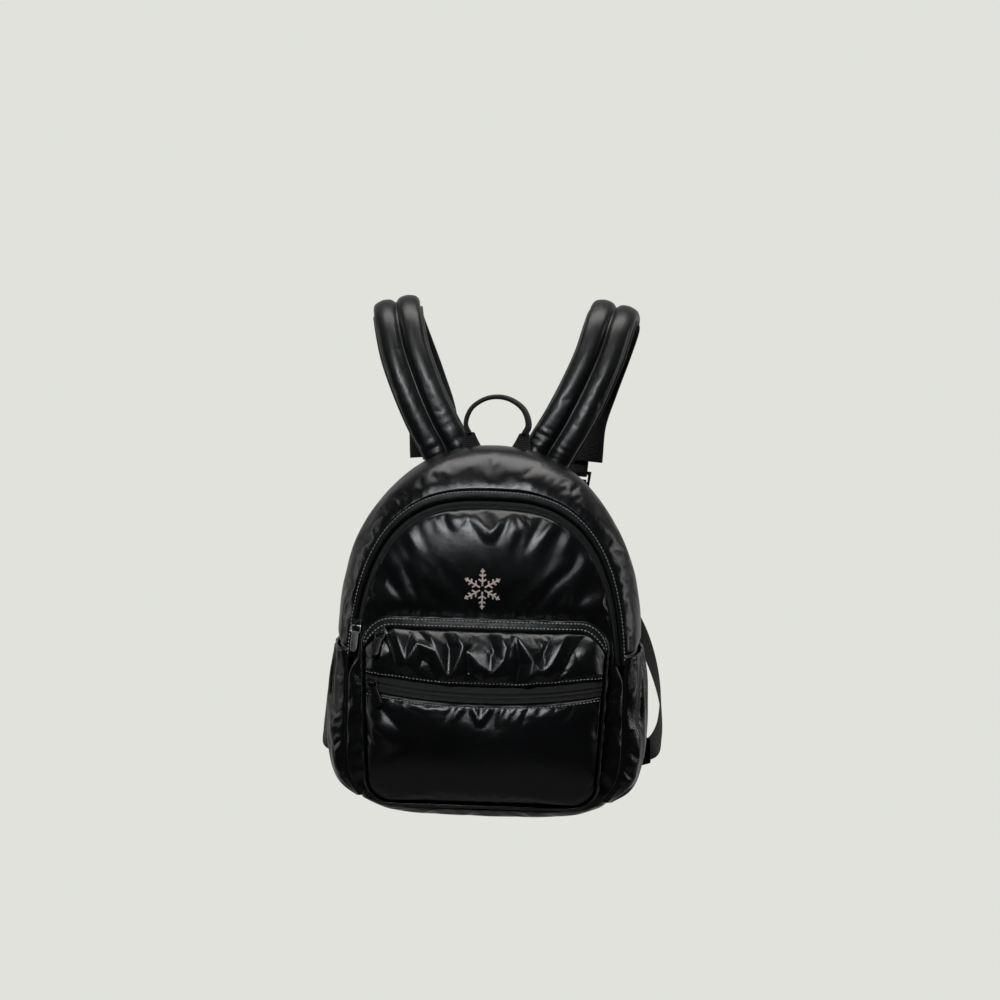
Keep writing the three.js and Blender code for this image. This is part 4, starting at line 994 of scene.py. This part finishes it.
def strapSurface(side):
    def surface(u, v):
        line = strapAt(v[:, 0])
        across, height = smoothSection(u)
        ends = 1 - 0.75 * (1 - ramp(np.minimum(v, 1 - v), -0.004, 0.012)) * 0.6  # flatter at both ends
        place = (line["at"][:, None] + line["across"][:, None] * (across * strap["width"] / 2)[..., None]
                 + line["out"][:, None] * (height * strap["thickness"] * ends)[..., None])
        return place * np.array((side, 1, 1))

    return surface


# The underside and the sewn channel stay in place
def strapPins(u):
    across, height = smoothSection(u)
    channel = (np.abs(across) < 0.07) & (height > -0.2)
    under = height < -0.36
    return np.where(channel | under, 1.0, 0.0)


def strapWrinkles(seed):
    def relief(u, v):
        across, height = smoothSection(u)
        puffed = np.clip(np.abs(across) * 4, 0, 1) * (height > -0.2)
        near = 0.06 + 1.5 * (1 - ramp(v, 0.02, 0.2))
        return puffed * near * 0.5 * rumple(u * 3 + 0.2 * np.sign(across) * v * 40, v * 58, 1.5, seed)

    return relief


straps, sides = {}, {"right": 1, "left": -1}
for side, seed in (("right", 71), ("left", 83)):
    u, v = gridShares(strap["around"], strap["along"])
    start = strapSurface(sides[side])(u, v)
    lie = gridNormals(start)
    outwards = np.sum(lie * (start - start.mean(1, keepdims=True)), -1).mean() >= 0
    u, v, start, lie = facing(outwards, u, v, start, lie)
    lie[:, 0] = lie[:, -1] = unit(lie[:, 0] + lie[:, -1])
    start = start + lie * strapWrinkles(seed)(u, v)[..., None]
    start[:, -1] = start[:, 0]
    straps[side] = panelOf(f"strap_pad_cloth_{side}", u, start, lie, start, strap["cap"])
    held = strapPins(u)
    held[[0, -1]] = 1
    addCloth(straps[side], held, strap["grow"], strap["pressure"], ridge(v / strap["gathers"], 1),
             strap["gatherGrow"])
print("cloth laid out")

panels = [topGusset, sideRight, sideLeft, basePanel, frontPanel, upperPanel, lowerPanel, ring, *slips.values(),
          backPanel, *straps.values()]
runCloth(panels)
print("cloth inflated")

for panel, wall, look, node, fill in (
        (topGusset, 2.4, "nylon", "top_gusset", 0.6), (sideRight, 2.4, "nylon", "side_panel_right", 0.3),
        (sideLeft, 2.4, "nylon", "side_panel_left", 0.3), (basePanel, 2.4, "nylonTight", "base_panel", 0.3),
        (frontPanel, 2.4, "nylon", "front_panel", 0.6), (upperPanel, 2.4, "nylon", "pocket_upper_panel", 0.6),
        (lowerPanel, 2.4, "nylonTight", "pocket_lower_panel", 0.6), (ring, 2.2, "nylon", "pocket_gusset", 0.3),
        (slips["right"], 1.6, "nylon", "side_pocket_right", 0.2),
        (slips["left"], 1.6, "nylon", "side_pocket_left", 0.2)):
    finishCloth(panel, wall, looks[look], node)
finishCloth(backPanel, 5, looks["mesh"], "back_panel", slot="lining")


# Welds the seam of a tube and closes its ends
def closeTube(mesh, turnOut=False):
    shape = bmesh.new()
    shape.from_mesh(mesh)
    bmesh.ops.remove_doubles(shape, verts=shape.verts, dist=1e-6)
    bmesh.ops.holes_fill(shape, edges=[edge for edge in shape.edges if edge.is_boundary], sides=0)
    if turnOut:
        bmesh.ops.recalc_face_normals(shape, faces=shape.faces)
    shape.to_mesh(mesh)
    shape.free()


for side, panel in straps.items():
    closeTube(panel["piece"].data)
    smoothed(panel["piece"])
    settle(panel["piece"], looks["nylonMatt"], "puffer", "root", f"strap_pad_{side}")


# Bands of webbing: a flat oval section swept along a line, which holds at, across and out
def sweep(name, line, width, thickness, material, slot, nodes, side=1, power=4.0, around=20):
    turn = np.linspace(0, math.tau, around + 1)
    oval = np.stack((np.sign(np.cos(turn)) * np.abs(np.cos(turn)) ** (2 / power) * width / 2,
                     np.sign(np.sin(turn)) * np.abs(np.sin(turn)) ** (2 / power) * thickness / 2), -1)
    spots = (line["at"][:, None] + line["across"][:, None] * oval[None, :, :1]
             + line["out"][:, None] * oval[None, :, 1:]) * (side, 1, 1)
    piece, _ = gridMesh(name, spots / 1000 + bagOrigin)
    closeTube(piece.data, turnOut=True)
    piece.data.polygons.foreach_set("use_smooth", np.ones(len(piece.data.polygons), bool))
    return settle(piece, material, slot, "root", *nodes)


def raised(line, height):
    return {**line, "at": line["at"] + line["out"] * height}


def joined(*lines):
    return {key: np.concatenate([line[key] for line in lines]) for key in ("at", "across", "out")}


# Webbing from the bag's lower corner through the lock, whose line has places and outward directions
webbing = {
    "width": 20, "thickness": 1.4, "turnRadius": 3.3, "lockDrop": 10, "lockBar": 3.2, "lockWindow": 7,
    "lockClear": 14, "tail": 62,
    "line": [
        (0.899, 0.0265, 0.117, 0, -1, 0), (0.989, 0.0265, 0.117, 0, -1, 0), (1.071, 0.06, 0.122, 0.45, -0.89, 0),
        (1.116, 0.2, 0.15, 0.94, -0.34, 0), (1.109, 0.42, 0.22, 1, 0.05, 0), (0.989, 0.69, 0.32, 0.84, 0.54, 0),
        (0.749, 0.9, 0.43, 0.42, 0.91, 0),
    ],
}


# A half turn of webbing round a bar
def turned(centre, along, across, out, start, end, steps=16):
    angle = np.linspace(start, end, steps)[:, None]
    radial = along * np.sin(angle) + out * np.cos(angle)
    return {"at": centre + radial * webbing["turnRadius"], "across": np.repeat(across[None], steps, 0), "out": radial}


def station(at, across, out):
    return {"at": np.array([at]), "across": np.array([across]), "out": np.array([out])}


stops = strapAt(np.linspace(0, 1, strap["stops"] + 1))
end = {key: stops[key][-1] for key in ("at", "along", "across", "out")}
place = lambda down, outwards: end["at"] + end["along"] * down + end["out"] * outwards
firstBar = webbing["lockDrop"] + webbing["lockBar"] / 2
pitch = webbing["lockWindow"] + webbing["lockBar"]
thick = webbing["thickness"]
aside = -end["across"]
loopLine = joined(station(place(0.5, thick), end["across"], end["out"]),
                  turned(place(firstBar, 0), end["along"], end["across"], end["out"], 0, math.pi),
                  station(place(0.5, -thick), end["across"], -end["out"]))
turnLine = turned(place(firstBar + pitch, 0), end["along"], aside, end["out"], math.pi, math.tau)
turnLine["out"] = -turnLine["out"]
tailSteps = np.linspace(webbing["lockClear"], webbing["tail"], 14)
tailLine = joined(*(station(place(firstBar + pitch + down, webbing["turnRadius"] + 0.04 * down), aside, -end["out"])
                    for down in tailSteps))
webbingLine = joined(stationsAt(webbing["line"], bag["width"] / 2, np.linspace(0, 1, 90)),
                     station(place(firstBar + 2 * pitch + webbing["lockClear"], -webbing["turnRadius"]), aside,
                             end["out"]), turnLine, tailLine)
backingFrom = 3 / strap["stops"]
backingLine = raised(strapAt(np.linspace(backingFrom, 1, 180)),
                     -(strap["thickness"] + strap["backingThickness"]) / 2 - strap["gap"])
keeperArc = np.array((-0.01, 0.35, 0.75, 1.0, 0.75, 0.35, -0.01))
keeperLine = raised(strapAt(np.linspace(strap["keeperStop"], strap["keeperStop"] + 2, 7) / strap["stops"]),
                    (strap["thickness"] / 2 + strap["keeperBulge"] * keeperArc)[:, None])
for side, sign in sides.items():
    sweep(f"strap_backing_mesh_{side}", backingLine, strap["backingWidth"], strap["backingThickness"], looks["mesh"],
          "lining", [f"strap_backing_{side}"], sign, power=6)
    for part, line, width in (("keeper", keeperLine, strap["keeperWidth"]), ("loop", loopLine, webbing["width"]),
                              ("webbing", webbingLine, webbing["width"])):
        sweep(f"strap_{part}_band_{side}", line, width, thick, looks["webbing"], "webbing", [f"strap_{part}_{side}"],
              sign)

# Carry handle and its tabs
handle = {
    "width": 10, "thickness": 4.2, "twist": 22, "halfWidth": 25, "rise": 34.5, "tabHeight": 18, "tabFoot": 25,
    "tabHead": 9, "tabThickness": 2.4, "tabRise": 2.2, "tabOffset": 21, "tabDepth": 9,
    "line": [(-1.0, 0.03), (-1.14, 0.26), (-0.96, 0.67), (-0.48, 0.93), (0, 1), (0.48, 0.93), (0.96, 0.67),
             (1.14, 0.26), (1.0, 0.03)],
}
tabShare = handle["tabDepth"] / bag["depth"]
crest = float(bodyPoint(np.array(math.pi / 2), np.array(tabShare))[2]) + bag["puff"]
tabHeadHeight = crest + handle["tabHeight"]
handlePoints = [(out * handle["halfWidth"], -handle["tabDepth"], tabHeadHeight + up * handle["rise"])
                for out, up in handle["line"]]
stations = np.linspace(0, 1, 90)
share, along = evenAlong(handlePoints, stations, 801, 1e-3)
twist = np.radians(handle["twist"]) * stations[:, None] ** 2
straight = np.array((0, 1, 0)) * np.ones_like(along)
across = straight * np.cos(twist) + np.cross(along, straight) * np.sin(twist)
handleBand = {"at": curveThrough(handlePoints, share), "across": across, "out": np.cross(across, along)}
sweep("carry_handle_band", handleBand, handle["width"], handle["thickness"], looks["webbing"], "webbing",
      ["carry_handle"], power=3)


def tabSurface(side):
    def surface(u, v):
        x = mix(handle["tabOffset"], handle["halfWidth"], v) + (u - 0.5) * mix(
            handle["tabFoot"], handle["tabHead"], v**0.7)
        foot = bodyPoint(np.arccos(x / bag["crown"]), np.full_like(u, tabShare))[..., 2]
        foot = foot + bag["puff"] + handle["tabRise"] - 1.5
        y = -handle["tabDepth"] - handle["tabThickness"] / 2
        return np.stack((x * side, np.full_like(u, y), mix(foot, tabHeadHeight + 2, v)), -1)

    return surface


for side, sign in sides.items():
    tab = clothPiece(f"handle_tab_band_{side}", tabSurface(sign), 12, 12, middle=(0, 50, 330), seamDrop=0.3)
    finishCloth(tab, handle["tabThickness"], looks["webbing"], f"handle_tab_{side}", "webbing")
print("webbing made")


# Zips: tapes, flaps and coils
def bandPiece(name, surface, columns, rows, relief, wall, material, slot, node):
    u, v = gridShares(columns, rows)
    start = surface(u, v)
    lie = gridNormals(start)
    u, v, start, lie = facing(lie[..., 1].mean() <= 0, u, v, start, lie)
    panel = panelOf(name, u, start, lie, start + lie * relief(u, v)[..., None])
    panel["lie"] = gridNormals(panel["spots"])
    finishCloth(panel, wall, material, node, slot)
    return panel


zips = {"endAngle": 17.5, "recess": 3.2, "overlap": 2, "lowerRecess": 1.4, "tooth": 1.5, "toothRadius": 0.55,
        "toothLength": 1.9, "toothTurn": 76, "flapWall": 1.4, "tapeWall": 1.6}


def archStrip(start, stop):
    def surface(u, v):
        angle = mix(math.radians(zips["endAngle"]), math.pi - math.radians(zips["endAngle"]), u)
        return frontPoint(angle, bag["seamGap"] + mix(start, stop, v) * zipBandShare(angle))

    return surface


def flapRelief(seed, height, curl, lip):
    def relief(u, v):
        roll = height * np.sqrt(np.maximum(1 - np.abs(2 * v - 1) ** 3, 0)) + lip * (1 - v)
        return roll - curl * ramp(v, 0.86, 1) - 0.8 * (1 - ramp(v, 0, 0.1)) + 0.12 * rumple(u * 50, v, 1.6, seed)

    return relief


slotEnd = front["flap"] + front["slot"]
deepTape = lambda u, v: -zips["recess"] + 0.7 * ridge(v - 0.5, 0.16)
sagTape = lambda u, v: (-zips["lowerRecess"] + 0.9 * ridge(np.abs(v - 0.5) - 0.12, 0.09)
                        - 0.9 * ridge(v - 0.5, 0.035))
flapEnd = (zips["flapWall"], looks["nylonFold"], "puffer")
tapeEnd = (zips["tapeWall"], looks["tape"], "zip_tape")
mainFlap = bandPiece("main_zip_flap_cloth", archStrip(0, front["flap"]), 220, 8, flapRelief(91, 1.8, 2.2, 0.8),
                     *flapEnd, "main_zip_flap")
mainTape = bandPiece("main_zip_tape", archStrip(front["flap"] - zips["overlap"], slotEnd + zips["overlap"]), 200, 10,
                     deepTape, *tapeEnd, "main_zip")
flapFoot = pocketRim + pocket["flap"]
pocketStrip = lambda start, stop: (
    lambda u, v: pocketArch(u, pocketRim + (mix(start, stop, v) - pocketRim) * bandTaper(u)))
pocketFlap = bandPiece("pocket_flap_cloth", pocketStrip(0.9, flapFoot), 180, 8, flapRelief(97, 1.2, 0.8, 1.2),
                       *flapEnd, "pocket_flap")
pocketTape = bandPiece("pocket_zip_tape", pocketStrip(flapFoot - zips["overlap"],
                                                      flapFoot + pocket["slot"] + zips["overlap"]), 160, 10,
                       deepTape, *tapeEnd, "pocket_zip")
lowerStrip = pocketFace(lambda s: zipLine(s, -pocket["zipWidth"] / 2), lambda s: zipLine(s, pocket["zipWidth"] / 2))
bandPiece("lower_zip_tape", lowerStrip, 150, 16, sagTape, *tapeEnd, "lower_zip")


# A line of places and normals along a panel, where u or v runs between two shares and the other stays
def seamOn(panel, u, v, lift):
    steps = np.linspace(0, 1, stitch["samples"])
    return spotOn(panel, np.interp(steps, (0, 1), u), np.interp(steps, (0, 1), v), lift)


# Stitches or coil turns: small drops laid end to end along lines of places and normals
def beads(name, lines, length, pitch, radius, material, slot="puffer", turn=0.0, around=6):
    shape = bmesh.new()
    for points, normals in lines:
        far = farAlong(points)
        for at in np.arange(pitch, far[-1] - pitch / 2, pitch):
            where = [np.interp(at, far, points[:, k]) for k in range(3)]
            ahead = [np.interp(at + 0.5, far, points[:, k]) for k in range(3)]
            normal = Vector([np.interp(at, far, normals[:, k]) for k in range(3)]).normalized()
            forward = (Vector(ahead) - Vector(where)).normalized()
            forward.rotate(Matrix.Rotation(turn, 3, normal))
            sideways = normal.cross(forward).normalized()
            spot = Vector(where) / 1000 + Vector(bagOrigin)
            turnMatrix = Matrix((forward, sideways, normal)).transposed().to_4x4()
            sizes = Matrix.Diagonal((length / 2000, radius / 1000, radius / 1000 * 0.8, 1))
            bmesh.ops.create_uvsphere(shape, u_segments=around, v_segments=4, radius=1,
                                      matrix=Matrix.Translation(spot) @ turnMatrix @ sizes
                                      @ Matrix.Rotation(math.pi / 2, 4, "Y"))
    return settle(newPiece(name, shape), material, slot, "root")


full, through = (0.004, 0.996), (0.02, 0.98)
stitch = {"length": 2.0, "pitch": 3.3, "radius": 0.45, "lift": 0.3, "strapRadius": 0.35, "strapLift": 0.1,
          "samples": 900}
stitches = lambda name, lines: beads(name, lines, stitch["length"], stitch["pitch"], stitch["radius"],
                                     looks["thread"])
level = lambda panel, v: seamOn(panel, full, (v, v), stitch["lift"])
stitches("main_zip_stitches", [level(mainFlap, 0.2)])
stitches("pocket_flap_stitches", [level(pocketFlap, 0.18), level(pocketFlap, 0.64)])
stitches("pocket_upper_stitches", [level(upperPanel, 0.055)])
stitches("pocket_lower_stitches", [level(lowerPanel, 0.965)])
for side, panel in straps.items():
    beads(f"strap_channel_stitches_{side}", [seamOn(panel, (0.5, 0.5), through, stitch["strapLift"])],
          stitch["length"], stitch["pitch"], stitch["strapRadius"], looks["channelHighlightThread"])
for name, panel in (("main_zip_coil", mainTape), ("pocket_zip_coil", pocketTape)):
    beads(name, [level(panel, v) for v in (0.47, 0.53)], zips["toothLength"], zips["tooth"], zips["toothRadius"],
          looks["coil"], "zip_tape", math.radians(zips["toothTurn"]))

# A plain embroidered snowflake on the front panel
motif = {"middle": (-4, 202), "reach": 18, "start": 2.2, "branches": [(6.5, 4.6), (11, 3.6), (15, 2.2)],
         "arms": 6, "pitch": 0.62, "length": 1.9, "radius": 0.34, "lift": 0.22, "turn": 75, "samples": 24}
frontShape = frontPanel["piece"].evaluated_get(bpy.context.evaluated_depsgraph_get())


# A straight line in the plane, laid on the front panel
def sewnLine(start, stop):
    points, normals = [], []
    for t in np.linspace(0, 1, motif["samples"]):
        x, z = mix(np.array(start), np.array(stop), t)
        eye = Vector(np.array((x, -250, z)) / 1000 + bagOrigin)
        _, spot, normal, _ = frontShape.ray_cast(eye, Vector((0, 1, 0)))
        points.append((np.array(spot) - bagOrigin) * 1000 + np.array(normal) * motif["lift"])
        normals.append(np.array(normal))
    return np.array(points), np.array(normals)


sewn = []
for arm in range(motif["arms"]):
    heading = math.radians(90 + 60 * arm)
    onArm = lambda far, turn=0.0: np.array((math.cos(heading + turn), math.sin(heading + turn))) * far
    middle = np.array(motif["middle"])
    sewn.append(sewnLine(middle + onArm(motif["start"]), middle + onArm(motif["reach"])))
    for far, long in motif["branches"]:
        for turn in (-math.pi / 3, math.pi / 3):
            sewn.append(sewnLine(middle + onArm(far), middle + onArm(far) + onArm(long, turn)))
beads("front_motif", sewn, motif["length"], motif["pitch"], motif["radius"], looks["pinkThread"],
      turn=math.radians(motif["turn"]), around=5)
print("zips and stitches made")


# Piping down the sides of the pocket's face and across its foot
piping = {"width": 1.9, "from": -0.345, "to": 0.345, "inset": 0.7, "stations": 260}
share = np.mod(np.linspace(piping["from"], piping["to"], piping["stations"]), 1)
pipe = ringPlace(share, np.full_like(share, piping["inset"]), np.full_like(share, 1.0)) - np.array((0, 0.5, 0))
ahead = unit(np.gradient(pipe, axis=0))
across = np.cross(ahead, np.array((0.0, -1.0, 0.0)))
sweep("pocket_piping", {"at": pipe, "across": unit(across), "out": unit(np.cross(across, ahead))},
      piping["width"], piping["width"], looks["nylonTight"], "puffer", [], power=2, around=10)


# Hard pieces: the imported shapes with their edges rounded. Angles are in degrees, and merge is in metres.
edges = {"merge": 2e-6, "flat": 2, "sharp": 35, "smooth": 40}


def rounded(node, name, material, slot, body, width):
    shape = bmesh.new()
    shape.from_mesh(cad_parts[node].data)
    bmesh.ops.remove_doubles(shape, verts=shape.verts, dist=edges["merge"])
    bmesh.ops.dissolve_limit(shape, angle_limit=math.radians(edges["flat"]), verts=shape.verts, edges=shape.edges)
    sharp = [edge for edge in shape.edges
             if len(edge.link_faces) == 2 and edge.calc_face_angle(0) > math.radians(edges["sharp"])]
    bmesh.ops.bevel(shape, geom=sharp, offset=width / 1000, segments=2, profile=0.5, affect="EDGES", material=-1,
                    clamp_overlap=True)
    piece = newPiece(name, shape)
    piece.data.set_sharp_from_angle(angle=math.radians(edges["smooth"]))
    settle(piece, material, slot, body, node)


for zipName in ("main_zip", "pocket_zip", "lower_zip"):
    rounded(f"{zipName}_slider", f"{zipName}_slider_metal", looks["metal"], "hardware", "root", 0.3)
    rounded(f"{zipName}_pull", f"{zipName}_pull_metal", looks["brightMetal" if zipName == "main_zip" else "metal"],
            "hardware", f"{zipName}_pull", 0.22)
for side in ("left", "right"):
    rounded(f"strap_lock_{side}", f"strap_lock_plastic_{side}", looks["plastic"], "plastic", "root", 0.5)
    rounded(f"strap_wing_{side}", f"strap_wing_cloth_{side}", looks["nylonTight"], "puffer", "root", 0.8)

# Studio: a pale floor and surround for the camera, and dim ones for light, so that the black cloth stays black
studio = {
    "floor": -1.05, "floorRadius": 1.3, "target": (0.0058, -0.107, -0.168), "distance": 3.2, "azimuth": 3.5,
    "elevation": 1.5, "roll": 1.5, "framed": 0.9, "sensor": 36, "pale": (0.752, 0.76, 0.72),
    "aim": (0, -0.12, -0.22), "sky": {"From Min": -0.1, "From Max": 1.0, "To Min": 0.008, "To Max": 0.4},
    "lights": [
        ("overhead", (0.0, -0.1, 1.7), (2.0, 1.1), 36, (1, 0.985, 0.965)),
        ("front above", (-0.3, -2.25, 1.2), (0.75, 0.3), 34, (0.94, 0.98, 1)),
        ("left side", (-2.2, 0.1, 0.3), (0.3, 1.5), 5, (1, 1, 1)),
        ("right side", (2.2, 0.1, 0.3), (0.3, 1.5), 9, (1, 1, 1)),
    ],
}
shape = bmesh.new()
bmesh.ops.create_circle(shape, cap_ends=True, segments=96, radius=studio["floorRadius"],
                        matrix=Matrix.Translation((0, 0, studio["floor"])))
floor = newPiece("floor", shape, smooth=False)
floorFinish = Finish("pale floor", (0.16, 0.16, 0.155), 0.9)
floorFinish.bump(floorFinish.noise(floorFinish.objectPlace(), 30, 3), 0.0005, 0.1)
pale = floorFinish.put("Emission", Color=(*studio["pale"], 1))
direct = floorFinish.out(floorFinish.put("LightPath"))
floorFinish.finish(floorFinish.put("MixShader", n_0=direct, n_1=floorFinish.out(floorFinish.shader),
                                   n_2=floorFinish.out(pale)))
floor.data.materials.append(floorFinish.material)

for name, spot, size, power, color in studio["lights"]:
    light = bpy.data.lights.new(name, "AREA")
    light.shape = "RECTANGLE"
    light.size, light.size_y = size
    light.energy, light.color = power, color
    piece = bpy.data.objects.new(name, light)
    piece.location = spot
    piece.rotation_euler = (Vector(studio["aim"]) - Vector(spot)).to_track_quat("-Z", "Y").to_euler()
    bpy.context.scene.collection.objects.link(piece)

world = bpy.data.worlds.new("studio")
bpy.context.scene.world = world
world.use_nodes = True
sky = Nodes(world.node_tree)
parts = sky.put("SeparateXYZ", Vector=sky.out(sky.put("TexCoord"), "Generated"))
behind = sky.put("MapRange", {"interpolation_type": "SMOOTHSTEP"}, Value=sky.out(parts, "Y"),
                 **studio["sky"])
surround = sky.put("Background", Color=sky.out(behind))
seen = sky.put("Background", Color=(*studio["pale"], 1))
sky.finish(sky.put("MixShader", n_0=sky.out(sky.put("LightPath")), n_1=sky.out(surround), n_2=sky.out(seen)))

camera = bpy.data.objects.new("camera", bpy.data.cameras.new("camera"))
bpy.context.scene.collection.objects.link(camera)
azimuth, elevation = math.radians(studio["azimuth"]), math.radians(studio["elevation"])
away = Vector((math.sin(azimuth) * math.cos(elevation), -math.cos(azimuth) * math.cos(elevation),
               math.sin(elevation)))
camera.location = Vector(studio["target"]) + away * studio["distance"]
turn = (-away).to_track_quat("-Z", "Y").to_matrix().to_4x4() @ Matrix.Rotation(math.radians(studio["roll"]), 4, "Z")
camera.rotation_euler = turn.to_euler()
camera.data.sensor_width = studio["sensor"]
camera.data.lens = studio["sensor"] * studio["distance"] / studio["framed"]
bpy.context.scene.camera = camera
bpy.context.scene.view_settings.view_transform = "Standard"
print("studio set")
